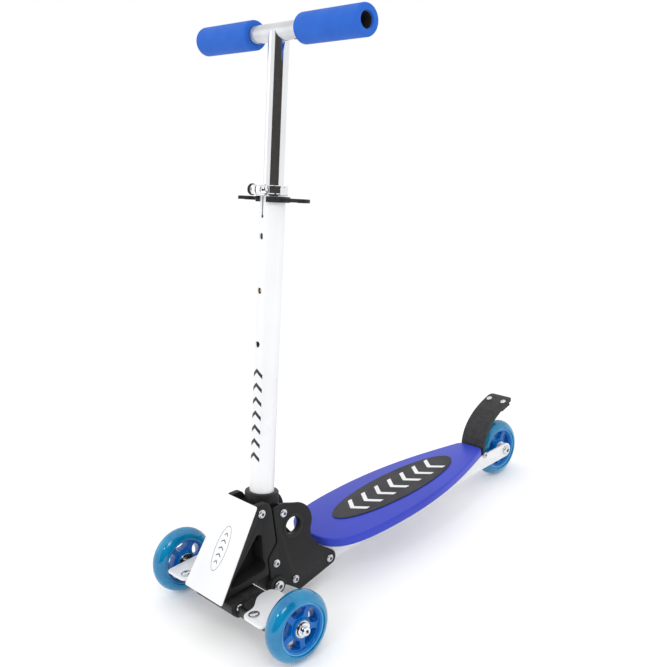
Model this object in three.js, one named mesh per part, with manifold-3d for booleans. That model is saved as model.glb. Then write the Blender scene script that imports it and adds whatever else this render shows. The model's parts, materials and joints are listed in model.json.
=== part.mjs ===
// A folding three-wheeled kick scooter, in millimetres. +Z is up and -Y is forward.
// While it is modelled the front axle is at Y = 0 and both axles at Z = axleHeight;
// the last lines centre the whole scooter over the origin and stand its tyres on the ground.
import * as THREE from "three";
import { mergeVertices } from "three/addons/utils/BufferGeometryUtils.js";
import Module from "manifold-3d";

const wasm = await Module();
wasm.setup();

// ---- Clearances ----
const gap = 0.3; // between pieces that touch
const run = 0.6; // between pieces that move past each other
const roundSides = 20; // facets round a tube
const boltSides = 8; // facets round a fastener

// ---- Wheels ----
const axleHeight = 45; // the datum that every height below is measured against
const wheelRadius = 45;
const wheelHalfWidth = 13.5;
const rimRadius = 32;
const rimWall = 3;
const hubRadius = 13;
const spokeCount = 5;
const spokeWidth = 7;
const spokeHalfDepth = 8; // along the axle
const bearingOuter = 11;
const bearingBore = 4.4;
const bearingWidth = 7;
const axleRadius = 4;
const halfTrack = 124; // centre line of the scooter to the middle of a front wheel
const wheelbase = 534;

// ---- Deck ----
const deckTop = 70;
const deckThickness = 13;
const deckFront = 128;
const deckToTyre = 13;
const deckRear = wheelbase - wheelRadius - deckToTyre;
const deckHalfWidth = 68;
const deckWidestAt = 250;
const deckFrontFlat = 26; // half of the nearly straight front edge
const deckRearHalf = 26;
const deckEdge = 2.2; // rounded edge
const padHalfWidth = 37;
const padHalfLength = 121;
const padCentre = 299;
const padThickness = 1.4;

// ---- Steel frame under the deck ----
const sheet = 3;
const frameFront = 64;
const channelEnd = deckRear - 31;
const channelDrop = 25; // height of the channel's sides at the front
const armInner = 19.5; // inside face of each rear fork arm
const armHeight = 22;
const armStart = channelEnd - 50;

// ---- Folding head ----
const plateOuter = 32; // outside face of the side plates and of the casting
const plateThickness = 4.7;
const frameHalf = plateOuter - plateThickness - gap; // outside of the frame's channel
const pivotBolt = { y: 44.5, z: 42, radius: 4, head: 7.5 };
const upperBolt = { y: 47, z: 73, radius: 3, head: 5.6 };
const frameBolt = { y: 74, z: 37, radius: 3, head: 5.6 };
const rearBolt = { y: 135, z: 39, radius: 3, head: 5.6 };
const coverBolt = { y: 35, z: 149, radius: 3, head: 5.8 };
const fingerHole = { y: 82, z: 112, radius: 12, rim: 29, wall: 8.2 };
const bossRadius = 12.5;
const bossHeight = 2.5;
const coverTop = { y: 29, z: 162 };
const coverBottom = { y: -48.5, z: 61 };
const coverHalfTop = 33.5;
const coverHalfBottom = 40;
const coverSheet = 2;
const castingFloor = 62; // underside of the casting

// ---- Steering truck ----
const kingpinPoint = { y: -6, z: 50 };
const kingpinTilt = 30; // degrees, top towards the front
const kingpinRadius = 5;
const truckHalf = 39;
const truckTop = 54;
const truckBottom = 33;
const truckFront = -34;
const truckBack = 20;
const beamTop = 49;
const beamEnd = halfTrack - wheelHalfWidth - 4.5;
const beamDepth = 15; // half of its front-to-back depth
const bracketSheet = 3;
const bracketFront = -37;
const bracketBack = 28;
const bracketBolt = { x: 74, y: -25, radius: 3, head: 5.6 };
const crossBolt = { y: -22, z: 46, radius: 3, head: 5 };

// ---- Stem ----
const stemFoot = { y: 57.8, z: 138 };
const stemLean = 11.9; // degrees back from upright
const foldPin = { y: 11, z: 0, radius: 3, head: 5.6 }; // in the stem's own frame
const socketRadius = 22;
const socketSlot = socketRadius + run; // half width of the slot that it folds in
const socketTop = 24;
const socketFloor = 10; // the lower tube stands on it
const lowerRadius = 16;
const lowerWall = 1.5;
const lowerTop = 401;
const upperRadius = 13;
const upperWall = 1.5;
const upperBottom = 250;
const barHeight = 596;
const buttonHeight = 284;
const heightStep = 67.5;
const heightHole = 4;
const slitEnd = 376;
const slitWidth = 3;
const clampBottom = 402;
const clampHeight = 12;
const clampWall = 3;
const clipHeight = 7;
const clipOpening = 10; // half of the front gap that lets the ring snap on
const clipArmHeight = 4.5;
const clipReach = 52; // stem axis to the middle of each storage clip
const clipInner = 9.6; // grips the handles' spigots
const clipWall = 2.4;

// ---- Handlebar ----
const barRadius = 11;
const barWall = 1.5;
const barHalf = 42; // half the fixed cross tube
const handleEnd = 148;
const spigotLength = 30;
const gripRadius = 18.3;
const gripStart = 46;
const gripEnd = 152;
const gripBore = 8.5;

// ---- Rear brake ----
const brakePin = { y: deckRear + 5, z: axleHeight + 11, radius: 2.5 };
const brakeHalf = 18; // between the fork arms
const flapHalf = 22.5; // above them
const rivetSpread = 14; // from the middle to each rivet
const brakePadHalf = 18;
const flapReach = wheelRadius + 33; // from the pin back over the tyre
const flapRise = wheelRadius + 26; // from the pin up
const brakeSheet = 2.5;

// ---------------------------------------------------------------- helpers

function solidFrom(geometry) {
  const loose = geometry.index ? geometry.toNonIndexed() : geometry;
  const bare = new THREE.BufferGeometry();
  bare.setAttribute("position", loose.getAttribute("position"));
  const merged = mergeVertices(bare, 1e-4);
  const corners = new Uint32Array(merged.index.array);
  const build = () =>
    new wasm.Manifold(
      new wasm.Mesh({
        numProp: 3,
        vertProperties: merged.attributes.position.array,
        triVerts: corners,
      }),
    );
  const made = build();
  if (made.volume() > 0) return made;
  for (let i = 0; i < corners.length; i += 3) {
    [corners[i + 1], corners[i + 2]] = [corners[i + 2], corners[i + 1]];
  }
  return build();
}

function geometryOf(solid) {
  const mesh = solid.getMesh();
  const geometry = new THREE.BufferGeometry();
  geometry.setAttribute("position", new THREE.BufferAttribute(mesh.vertProperties, 3));
  geometry.setIndex(new THREE.BufferAttribute(mesh.triVerts, 1));
  geometry.computeVertexNormals();
  return geometry;
}

// A block between two corners.
function block(low, high) {
  const [a, b] = [new THREE.Vector3(...low), new THREE.Vector3(...high)];
  const size = b.clone().sub(a);
  const middle = a.add(b).multiplyScalar(0.5);
  const geometry = new THREE.BoxGeometry(size.x, size.y, size.z);
  return solidFrom(geometry.translate(middle.x, middle.y, middle.z));
}

// A solid of revolution about Z from [radius, height] pairs.
function turnedZ(profile, sides = roundSides) {
  const points = profile.map(([radius, height]) => new THREE.Vector2(radius, height));
  return solidFrom(new THREE.LatheGeometry(points, sides).rotateX(Math.PI / 2));
}

// The same about a line along X through (y, z), from [radius, x] pairs.
function turnedX(profile, y, z, sides = roundSides) {
  const points = profile.map(([radius, x]) => new THREE.Vector2(radius, x));
  const geometry = new THREE.LatheGeometry(points, sides).rotateZ(-Math.PI / 2);
  return solidFrom(geometry.translate(0, y, z));
}

function rodX(radius, from, to, y, z, sides = roundSides) {
  return turnedX([[0, from], [radius, from], [radius, to], [0, to]], y, z, sides);
}

function rodZ(radius, from, to, x = 0, y = 0, sides = roundSides) {
  const profile = [[0, from], [radius, from], [radius, to], [0, to]];
  return turnedZ(profile, sides).translate([x, y, 0]);
}

function tubeZ(outer, inner, from, to, x = 0, y = 0) {
  const profile = [[inner, from], [outer, from], [outer, to], [inner, to], [inner, from]];
  return turnedZ(profile).translate([x, y, 0]);
}

function tubeX(outer, inner, from, to, y, z) {
  return turnedX([[inner, from], [outer, from], [outer, to], [inner, to], [inner, from]], y, z);
}

// A rod along Y, for the holes in the front of the tubes.
function rodY(radius, from, to, z, sides = 16) {
  const profile = [[0, from], [radius, from], [radius, to], [0, to]];
  const points = profile.map(([r, along]) => new THREE.Vector2(r, along));
  return solidFrom(new THREE.LatheGeometry(points, sides).translate(0, 0, z));
}

// An outline in the side view (y, z), made solid from one x to another.
function slabX(outline, from, to) {
  const geometry = new THREE.ExtrudeGeometry(outline, {
    depth: to - from,
    bevelEnabled: false,
    curveSegments: 5,
  });
  const sideways = new THREE.Matrix4().set(0, 0, 1, from, 1, 0, 0, 0, 0, 1, 0, 0, 0, 0, 0, 1);
  return solidFrom(geometry.applyMatrix4(sideways));
}

// An outline in the plan view (x, y), made solid from one height to another.
function slabZ(outline, from, to, edge = 0) {
  const geometry = new THREE.ExtrudeGeometry(outline, {
    depth: to - from - 2 * edge,
    bevelEnabled: edge > 0,
    bevelThickness: edge,
    bevelSize: edge,
    bevelOffset: -edge,
    bevelSegments: 1,
    curveSegments: 7,
  });
  return solidFrom(geometry.translate(0, 0, from + edge));
}

function polygon(points) {
  return new THREE.Shape(points.map(([u, v]) => new THREE.Vector2(u, v)));
}

// A rounded bar between two points of the side view.
function linkX(a, b, radius, from, to) {
  const [dy, dz] = [b.y - a.y, b.z - a.z];
  const length = Math.hypot(dy, dz);
  const [ny, nz] = [(-dz / length) * radius, (dy / length) * radius];
  const middle = polygon([
    [a.y - ny, a.z - nz],
    [b.y - ny, b.z - nz],
    [b.y + ny, b.z + nz],
    [a.y + ny, a.z + nz],
  ]);
  return rodX(radius, from, to, a.y, a.z)
    .add(rodX(radius, from, to, b.y, b.z))
    .add(slabX(middle, from, to));
}

// A dome-headed through bolt along X with its nut at the other end, as one solid.
function throughBolt(bolt, halfGrip, sides = boltSides) {
  const face = halfGrip + gap;
  const height = bolt.head * 0.55;
  const end = (side) => [
    [bolt.radius, side * face],
    [bolt.head, side * face],
    [bolt.head * 0.92, side * (face + height * 0.5)],
    [bolt.head * 0.55, side * (face + height)],
    [0, side * (face + height)],
  ];
  return turnedX([...end(-1).reverse(), ...end(1)], bolt.y, bolt.z, sides);
}

function boltHole(bolt, halfLength) {
  return rodX(bolt.radius + gap, -halfLength, halfLength, bolt.y, bolt.z, boltSides);
}

const bothSides = [
  { name: "left", side: 1 },
  { name: "right", side: -1 },
];

// The piece as it is on the left, or its mirror image on the right.
function onSide(solid, side) {
  return side > 0 ? solid : solid.mirror([1, 0, 0]);
}

// ---------------------------------------------------------------- finishes

const finishes = {
  blueDeck: { color: 0x2b36cf, roughness: 0.38, metalness: 0 },
  gripBlack: { color: 0x34343a, roughness: 0.9, metalness: 0 },
  whitePaint: { color: 0xf2f2f6, roughness: 0.3, metalness: 0 },
  blackPlastic: { color: 0x222324, roughness: 0.5, metalness: 0 },
  azureTyre: { color: 0x0c8bc8, roughness: 0.2, metalness: 0 },
  blueHub: { color: 0x0a4f9c, roughness: 0.3, metalness: 0 },
  steel: { color: 0xc9ccd0, roughness: 0.25, metalness: 1 },
  chrome: { color: 0xe2e4e8, roughness: 0.08, metalness: 1 },
  greyMetal: { color: 0xc6c8cc, roughness: 0.4, metalness: 0.8 },
  brass: { color: 0xc79a4a, roughness: 0.3, metalness: 1 },
  foam: { color: 0x2e66cc, roughness: 0.95, metalness: 0 },
  rubber: { color: 0x1c1c1e, roughness: 0.85, metalness: 0 },
};
for (const name of Object.keys(finishes)) {
  finishes[name] = new THREE.MeshStandardMaterial(finishes[name]);
}

const scooter = new THREE.Group();
const stem = new THREE.Group(); // its own Z runs up the tubes
stem.position.set(0, stemFoot.y, stemFoot.z);
stem.rotation.x = -THREE.MathUtils.degToRad(stemLean);
scooter.add(stem);

function add(parent, name, solid, finish) {
  const mesh = new THREE.Mesh(geometryOf(solid), finishes[finish]);
  mesh.name = name;
  parent.add(mesh);
}

// ---------------------------------------------------------------- wheels

// One wheel whose axle lies along X through (x, y).
function addWheel(prefix, x, y) {
  const z = axleHeight;
  const half = wheelHalfWidth;
  const rim = rimRadius;
  const crown = [20, 45, 90, 135, 160].map((angle) => {
    const turn = THREE.MathUtils.degToRad(angle);
    const shoulder = wheelRadius - half;
    return [shoulder + half * Math.sin(turn), x - half * Math.cos(turn)];
  });
  const bead = half - 3;
  const tyreProfile = [[rim + gap, x - bead], ...crown, [rim + gap, x + bead]];
  add(scooter, prefix + "_tyre", turnedX([...tyreProfile, tyreProfile[0]], y, z, 28), "azureTyre");

  const rimRing = tubeX(rim, rim - rimWall, x - bead, x + bead, y, z);
  let core = rimRing.add(tubeX(hubRadius, bearingOuter - 3, x - half + 2, x + half - 2, y, z));
  for (let i = 0; i < spokeCount; i++) {
    const spoke = block(
      [x - spokeHalfDepth, -spokeWidth / 2, hubRadius - 1.5],
      [x + spokeHalfDepth, spokeWidth / 2, rim - rimWall + 1],
    );
    core = core.add(spoke.rotate([(360 / spokeCount) * i + 36, 0, 0]).translate([0, y, z]));
  }
  const bearings = [
    { name: "outer", from: x + half - 2 - bearingWidth },
    { name: "inner", from: x - half + 2 },
  ];
  for (const bearing of bearings) {
    const to = bearing.from + bearingWidth;
    core = core.subtract(rodX(bearingOuter + gap, bearing.from - gap, to + gap, y, z));
    const ring = tubeX(bearingOuter, bearingBore, bearing.from, to, y, z);
    add(scooter, prefix + "_bearing_" + bearing.name, ring, "steel");
  }
  add(scooter, prefix + "_hub", core, "blueHub");
}

// ---------------------------------------------------------------- deck

function deckOutline() {
  const outline = new THREE.Shape();
  const middle = (deckFront + deckWidestAt) / 2 - 25;
  const half = (side) => side * deckHalfWidth;
  const [waist, taper] = [deckRear - 131, deckRear - 61]; // pulls the sides in towards the tail
  outline.moveTo(-deckFrontFlat, deckFront + 2);
  outline.quadraticCurveTo(0, deckFront - 2, deckFrontFlat, deckFront + 2);
  outline.bezierCurveTo(half(0.82), deckFront + 9, half(1), middle, half(1), deckWidestAt);
  outline.bezierCurveTo(half(1), waist, deckRearHalf + 17, taper, deckRearHalf, deckRear - 10);
  outline.quadraticCurveTo(deckRearHalf - 3, deckRear, deckRearHalf - 11, deckRear);
  outline.lineTo(-deckRearHalf + 11, deckRear);
  outline.quadraticCurveTo(-deckRearHalf + 3, deckRear, -deckRearHalf, deckRear - 10);
  outline.bezierCurveTo(-deckRearHalf - 17, taper, half(-1), waist, half(-1), deckWidestAt);
  outline.bezierCurveTo(half(-1), middle, half(-0.82), deckFront + 9, -deckFrontFlat, deckFront + 2);
  return outline;
}

function addDeck() {
  const underside = deckTop - deckThickness;
  add(scooter, "deck_board", slabZ(deckOutline(), underside, deckTop, deckEdge), "blueDeck");

  const pad = new THREE.Shape();
  pad.absellipse(0, padCentre, padHalfWidth, padHalfLength, 0, 2 * Math.PI);
  const padFloor = deckTop + gap;
  add(scooter, "grip_pad", slabZ(pad, padFloor, padFloor + padThickness), "gripBlack");
}

// A folded channel whose web carries the deck, with the two rear fork arms welded inside it.
function addFrame() {
  const top = deckTop - deckThickness - gap;
  const low = top - channelDrop;
  const shallow = top - 9;
  const sides = polygon([
    [frameFront, top - 14],
    [frameFront + 4, low + 3],
    [frameFront + 12, low],
    [200, low],
    [260, shallow],
    [channelEnd, shallow],
    [channelEnd, top],
    [frameFront, top],
  ]);
  const hollow = block([-frameHalf + sheet, 0, 0], [frameHalf - sheet, channelEnd + 1, top - sheet]);
  let frame = slabX(sides, -frameHalf, frameHalf).subtract(hollow);
  const axle = { y: wheelbase, z: axleHeight };
  const armRoot = { y: armStart, z: top - armHeight / 2 };
  for (const { side } of bothSides) {
    const arm = linkX(armRoot, axle, armHeight / 2, armInner, armInner + sheet);
    frame = frame.add(onSide(arm, side));
  }
  for (const bolt of [frameBolt, rearBolt]) frame = frame.subtract(boltHole(bolt, 60));
  frame = frame.subtract(rodX(axleRadius + gap, -60, 60, axle.y, axle.z));
  frame = frame.subtract(boltHole(brakePin, 60));
  add(scooter, "deck_frame", frame, "whitePaint");

  const spacer = tubeX(7, axleRadius + gap, wheelHalfWidth - 2 + gap, armInner - gap, axle.y, axle.z);
  for (const { name, side } of bothSides) {
    add(scooter, "rear_spacer_" + name, onSide(spacer, side), "steel");
  }
  const rearAxle = { ...axle, radius: axleRadius, head: 7.5 };
  add(scooter, "rear_axle_bolt", throughBolt(rearAxle, armInner + sheet), "steel");
}

// ---------------------------------------------------------------- folding head

function plateOutline() {
  const outline = new THREE.Shape();
  const ring = { y: fingerHole.y + 3, z: fingerHole.z };
  const r = fingerHole.rim;
  outline.moveTo(59, 148);
  outline.lineTo(72, 148);
  outline.absarc(ring.y, ring.z, r, 1.35, -0.55, true);
  outline.lineTo(108, 84);
  outline.lineTo(121, 65);
  outline.lineTo(rearBolt.y + 4, rearBolt.z + 11.5);
  outline.absarc(rearBolt.y, rearBolt.z, 11.5, 1.2, -1.0, true);
  outline.lineTo(86, 19);
  outline.quadraticCurveTo(79, 17, 75, 22);
  outline.lineTo(62, 33);
  outline.lineTo(36, 52);
  outline.lineTo(36, 84);
  outline.lineTo(54, 100);
  outline.lineTo(54, 143);
  outline.quadraticCurveTo(54, 148, 59, 148);
  return outline;
}

function addSidePlates() {
  const inside = plateOuter - plateThickness;
  let plate = slabX(plateOutline(), inside, plateOuter);
  plate = plate.add(
    rodX(bossRadius, inside, plateOuter + bossHeight, pivotBolt.y, pivotBolt.z, 16),
  );
  const rim = plateOuter - fingerHole.wall;
  plate = plate.add(
    rodX(fingerHole.radius + 5, rim, plateOuter, fingerHole.y, fingerHole.z, 18),
  );
  plate = plate.subtract(rodX(fingerHole.radius, 0, 60, fingerHole.y, fingerHole.z, 18));
  const pinHole = { ...foldPinPlace(), radius: foldPin.radius };
  for (const bolt of [pivotBolt, upperBolt, frameBolt, rearBolt, pinHole]) {
    plate = plate.subtract(boltHole(bolt, 60));
  }
  for (const { name, side } of bothSides) {
    add(scooter, "side_plate_" + name, onSide(plate, side), "blackPlastic");
  }
}

// Where the fold pin lies once the stem's lean is counted.
function foldPinPlace() {
  const lean = THREE.MathUtils.degToRad(stemLean);
  return {
    y: stemFoot.y + foldPin.y * Math.cos(lean) + foldPin.z * Math.sin(lean),
    z: stemFoot.z - foldPin.y * Math.sin(lean) + foldPin.z * Math.cos(lean),
  };
}

// The height of the cover's line at a distance along the scooter, moved back by an offset.
function coverLine(z, offset) {
  const slope = (coverTop.y - coverBottom.y) / (coverTop.z - coverBottom.z);
  return coverBottom.y + (z - coverBottom.z) * slope + offset;
}

function addCasting() {
  const seat = coverSheet * 1.3 + gap; // the casting's front, behind the sloping cover
  const front = (z) => coverLine(z, seat);
  const inside = plateOuter - plateThickness - gap;
  const cheeks = polygon([
    [front(castingFloor), castingFloor],
    [33, castingFloor],
    [36 - gap - 1, 66],
    [36 - gap - 1, 85],
    [54 - 2, 101],
    [54 - 2, 150],
    [47, 160],
    [front(161), 161],
  ]);
  const tongue = polygon([
    [20, castingFloor],
    [33, 34],
    [40, 30],
    [52, 30],
    [60, 38],
    [60, 112],
    [20, 112],
  ]);
  let casting = slabX(cheeks, -plateOuter, plateOuter).add(slabX(tongue, -inside, inside));
  // The socket folds down into this slot, which is open at the top and the back.
  const slot = polygon([
    [20, 110],
    [70, 110],
    [70, 170],
    [20, 170],
  ]);
  casting = casting.subtract(slabX(slot, -socketSlot, socketSlot));
  const recess = new THREE.Shape();
  recess.moveTo(22, 124);
  recess.quadraticCurveTo(31, 127, 31, 116);
  recess.lineTo(27, 84);
  recess.quadraticCurveTo(34, 72, 18, 72);
  recess.lineTo(-17, 70);
  recess.quadraticCurveTo(-29, 70, -22, 79);
  recess.closePath();
  for (const { side } of bothSides) {
    casting = casting.subtract(onSide(slabX(recess, plateOuter - 14, 60), side));
  }
  for (const bolt of [pivotBolt, upperBolt, coverBolt]) {
    casting = casting.subtract(boltHole(bolt, 60));
  }
  casting = casting.subtract(alongKingpin(rodZ(kingpinRadius + gap, -10, 30 + gap)));
  add(scooter, "head_casting", casting, "blackPlastic");

  const grip = plateOuter + bossHeight;
  add(scooter, "pivot_bolt", throughBolt(pivotBolt, grip), "steel");
  add(scooter, "upper_plate_bolt", throughBolt(upperBolt, plateOuter), "steel");
  add(scooter, "front_frame_bolt", throughBolt(frameBolt, plateOuter), "steel");
  add(scooter, "rear_frame_bolt", throughBolt(rearBolt, plateOuter), "steel");
  add(scooter, "head_bolt", throughBolt(coverBolt, plateOuter), "steel");
  const pin = { ...foldPin, ...foldPinPlace() };
  add(scooter, "stem_fold_pin", throughBolt(pin, plateOuter), "steel");
}

// The white cover lies on the casting's sloping front; it widens towards its lower edge.
function addFrontCover() {
  const [down, up] = [coverBottom, coverTop];
  const slope = Math.atan2(up.y - down.y, up.z - down.z);
  const length = Math.hypot(up.y - down.y, up.z - down.z);
  const face = polygon([
    [-coverHalfBottom, 0],
    [coverHalfBottom, 0],
    [coverHalfTop, length],
    [-coverHalfTop, length],
  ]);
  const sheetSolid = slabZ(face, 0, coverSheet) // stands the outline up, face towards the front
    .rotate([90, 0, 0])
    .rotate([-THREE.MathUtils.radToDeg(slope), 0, 0])
    .translate([0, down.y + coverSheet, down.z]);
  add(scooter, "front_cover", sheetSolid, "whitePaint");
}

// ---------------------------------------------------------------- steering truck

// Turns a piece made about Z into its place on the inclined kingpin.
function alongKingpin(solid) {
  return solid.rotate([kingpinTilt, 0, 0]).translate([0, kingpinPoint.y, kingpinPoint.z]);
}

function addTruck() {
  const bore = alongKingpin(rodZ(kingpinRadius + gap, -40, 40));
  const centre = polygon([
    [truckFront, truckBottom + 8],
    [truckFront + 8, truckBottom],
    [truckBack - 4, truckBottom],
    [truckBack, truckBottom + 4],
    [truckBack, truckTop - 6],
    [truckBack - 6, truckTop],
    [truckFront + 4, truckTop],
    [truckFront, truckTop - 4],
  ]);
  const beam = block([-beamEnd, -beamDepth - 12, beamTop - 12], [beamEnd, beamDepth, beamTop]);
  let truck = slabX(centre, -truckHalf, truckHalf).add(beam).subtract(bore);
  const bushSeat = alongKingpin(rodZ(13, 3, 40));
  const nutSeat = alongKingpin(rodZ(10, -40, -9));
  truck = truck.subtract(bushSeat).subtract(nutSeat).subtract(boltHole(crossBolt, 60));
  for (const { side } of bothSides) {
    const axleBore = rodX(axleRadius + gap, beamEnd - 40, beamEnd + 10, 0, axleHeight);
    const x = side * bracketBolt.x;
    const hole = rodZ(bracketBolt.radius + gap, 0, 90, x, bracketBolt.y, boltSides);
    const headRoom = rodX(crossBolt.head + 1, truckHalf, truckHalf + 5, crossBolt.y, crossBolt.z);
    truck = truck.subtract(onSide(axleBore, side)).subtract(hole).subtract(onSide(headRoom, side));
  }
  add(scooter, "truck_body", truck, "blackPlastic");

  const pin = turnedZ([[0, -15], [8.5, -15], [8.5, -10], [kingpinRadius, -10], [kingpinRadius, 30], [0, 30]], 18);
  add(scooter, "kingpin_bolt", alongKingpin(pin), "steel");
  const bush = turnedZ([
    [kingpinRadius + gap, 3 + gap],
    [12, 3 + gap],
    [12, 5],
    [8, 7.6],
    [kingpinRadius + gap, 7.6],
    [kingpinRadius + gap, 3 + gap],
  ]);
  add(scooter, "steering_bush", alongKingpin(bush), "rubber");
  add(scooter, "truck_cross_bolt", throughBolt(crossBolt, truckHalf), "steel");

  const floor = beamTop + gap;
  const plan = new THREE.Shape();
  const [near, far] = [truckHalf + 4.5, beamEnd - 2];
  const ear = bracketBolt.y - bracketFront; // the front end is round about its bolt
  const { x: boltX, y: boltY } = bracketBolt;
  plan.moveTo(boltX, bracketFront);
  plan.lineTo(far - 6, bracketFront);
  plan.quadraticCurveTo(far, bracketFront, far, bracketFront + 8);
  plan.lineTo(far, bracketBack - 12);
  plan.quadraticCurveTo(far, bracketBack, far - 12, bracketBack);
  plan.lineTo(near + 16, bracketBack);
  plan.quadraticCurveTo(near, bracketBack, near, bracketBack - 14);
  plan.bezierCurveTo(near, boltY + 17, boltX - ear, boltY + 19, boltX - ear, boltY);
  plan.quadraticCurveTo(boltX - ear, bracketFront, boltX, bracketFront);
  const hole = rodZ(bracketBolt.radius + gap, 0, 90, bracketBolt.x, bracketBolt.y, boltSides);
  const bracket = slabZ(plan, floor, floor + bracketSheet).subtract(hole);
  const bolt = turnedZ([
    [0, beamTop - 12],
    [bracketBolt.radius, beamTop - 12],
    [bracketBolt.radius, floor + bracketSheet + gap],
    [bracketBolt.head, floor + bracketSheet + gap],
    [bracketBolt.head * 0.9, floor + bracketSheet + 2],
    [bracketBolt.head * 0.55, floor + bracketSheet + 3.4],
    [0, floor + bracketSheet + 3.4],
  ], boltSides).translate([bracketBolt.x, bracketBolt.y, 0]);
  const outside = halfTrack + wheelHalfWidth;
  const axle = turnedX([
    [0, beamEnd - 38],
    [axleRadius, beamEnd - 38],
    [axleRadius, outside - 1],
    [8.5, outside - 1],
    [8.5, outside + 0.6],
    [5.6, outside + 0.6],
    [5.6, outside + 5],
    [4.6, outside + 6],
    [0, outside + 6],
  ], 0, axleHeight, 16);
  for (const { name, side } of bothSides) {
    add(scooter, "axle_bracket_" + name, onSide(bracket, side), "whitePaint");
    add(scooter, "bracket_bolt_" + name, onSide(bolt, side), "steel");
    add(scooter, "front_axle_bolt_" + name, onSide(axle, side), "steel");
  }
}

// ---------------------------------------------------------------- stem

function addStem() {
  const socketBottom = -9;
  let socket = rodZ(socketRadius, socketFloor - 4, socketTop);
  const lug = linkX({ y: foldPin.y, z: foldPin.z }, { y: -4, z: 4 }, 9.5, -socketRadius, socketRadius);
  const nose = block([-socketRadius, -19, socketBottom], [socketRadius, 8, socketFloor]);
  socket = socket.add(lug).add(nose);
  socket = socket.subtract(rodZ(lowerRadius + gap, socketFloor, socketTop + 1));
  socket = socket.subtract(rodX(foldPin.radius + gap, -60, 60, foldPin.y, foldPin.z, boltSides));
  const notch = headBoltInStem();
  socket = socket.subtract(rodX(coverBolt.radius + 2, -60, 60, notch.y, notch.z));
  socket = socket.subtract(block([-60, notch.y - 20, notch.z - 5], [60, notch.y, notch.z + 5]));
  add(stem, "stem_socket", socket, "blackPlastic");

  let lower = tubeZ(lowerRadius, lowerRadius - lowerWall, socketFloor + gap, lowerTop);
  for (const step of [-1, 0, 1]) {
    const z = buttonHeight + step * heightStep;
    lower = lower.subtract(rodY(heightHole, -30, 0, z));
  }
  lower = lower.subtract(rodY(2.4, -30, 0, slitEnd));
  lower = lower.subtract(
    block([-slitWidth / 2, -30, slitEnd], [slitWidth / 2, 0, lowerTop + 1]),
  );
  add(stem, "lower_tube", lower, "whitePaint");

  addClamp();
  addClipHolder();
}

// The head bolt seen from the stem's own frame, where the socket rests against it.
function headBoltInStem() {
  const lean = THREE.MathUtils.degToRad(stemLean);
  const [dy, dz] = [coverBolt.y - stemFoot.y, coverBolt.z - stemFoot.z];
  return {
    y: dy * Math.cos(lean) - dz * Math.sin(lean),
    z: dy * Math.sin(lean) + dz * Math.cos(lean),
  };
}

const skewer = { y: -(lowerRadius + 6.5), z: clampBottom + clampHeight / 2, radius: 2.5 };

// A split collar round the top of the lower tube, closed by a cam lever in front of it.
function addClamp() {
  const top = clampBottom + clampHeight;
  const inner = upperRadius + run;
  const outer = lowerRadius + clampWall;
  let collar = tubeZ(outer, inner, clampBottom, top);
  const ears = block([-9, skewer.y - 5, clampBottom], [9, -lowerRadius + 1, top]);
  collar = collar.add(ears.subtract(rodZ(inner, clampBottom - 1, top + 1)));
  collar = collar.subtract(block([-1.2, -40, clampBottom - 1], [1.2, 0, top + 1]));
  collar = collar.subtract(
    rodX(skewer.radius + gap, -30, 30, skewer.y, skewer.z, boltSides),
  );
  add(stem, "clamp_collar", collar, "chrome");

  const rod = turnedX([
    [0, -19],
    [skewer.radius, -19],
    [skewer.radius, 9 + gap],
    [5.5, 9 + gap],
    [5, 12.5],
    [3, 14.5],
    [0, 14.5],
  ], skewer.y, skewer.z, boltSides);
  add(stem, "clamp_skewer", rod, "steel");

  const cam = turnedX([
    [skewer.radius + gap, -16.5],
    [5.6, -16.5],
    [5.6, -9 - gap],
    [skewer.radius + gap, -9 - gap],
    [skewer.radius + gap, -16.5],
  ], skewer.y, skewer.z, 20);
  const bladeInside = -(lowerRadius + clampWall + 1.5);
  const bladeOutside = bladeInside - 5;
  const blade = new THREE.Shape();
  blade.moveTo(skewer.y + 4.5, skewer.z - 2);
  blade.lineTo(skewer.y + 4.5, skewer.z + 2);
  blade.quadraticCurveTo(skewer.y + 30, skewer.z + 6, skewer.y + 44, skewer.z + 2);
  blade.quadraticCurveTo(skewer.y + 47, skewer.z - 1, skewer.y + 43, skewer.z - 2.5);
  blade.quadraticCurveTo(skewer.y + 28, skewer.z + 1.5, skewer.y + 4.5, skewer.z - 2);
  const handle = slabX(blade, bladeOutside, bladeInside).add(
    block([bladeOutside, skewer.y + 3, skewer.z - 2], [-12, skewer.y + 6, skewer.z + 2]),
  );
  add(stem, "clamp_lever", cam.add(handle), "steel");
}

// A plastic ring below the clamp whose two arms end in clips for the pulled-off handles.
function addClipHolder() {
  const top = clampBottom - 1.5;
  const bottom = top - clipHeight;
  const outer = lowerRadius + 5.5;
  let holder = tubeZ(outer, lowerRadius + gap, bottom, top);
  const armEnd = clipReach - clipInner - 1;
  const clipMouth = clipInner * 0.66;
  const armLow = bottom + (clipHeight - clipArmHeight) / 2;
  const armHigh = armLow + clipArmHeight;
  holder = holder.add(block([lowerRadius + 2, -3, armLow], [armEnd, 3, armHigh]));
  holder = holder.add(block([-armEnd, -3, armLow], [-lowerRadius - 2, 3, armHigh]));
  for (const { side } of bothSides) {
    const x = side * clipReach;
    const ring = tubeZ(clipInner + clipWall, clipInner, armLow, armHigh, x, 0);
    const mouth = block([x - clipMouth, -30, bottom - 1], [x + clipMouth, 0, top + 1]);
    holder = holder.add(ring.subtract(mouth));
  }
  holder = holder.subtract(block([-clipOpening, -40, bottom - 1], [clipOpening, 0, top + 1]));
  add(stem, "clip_holder", holder, "blackPlastic");
}

// ---------------------------------------------------------------- handlebar

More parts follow.
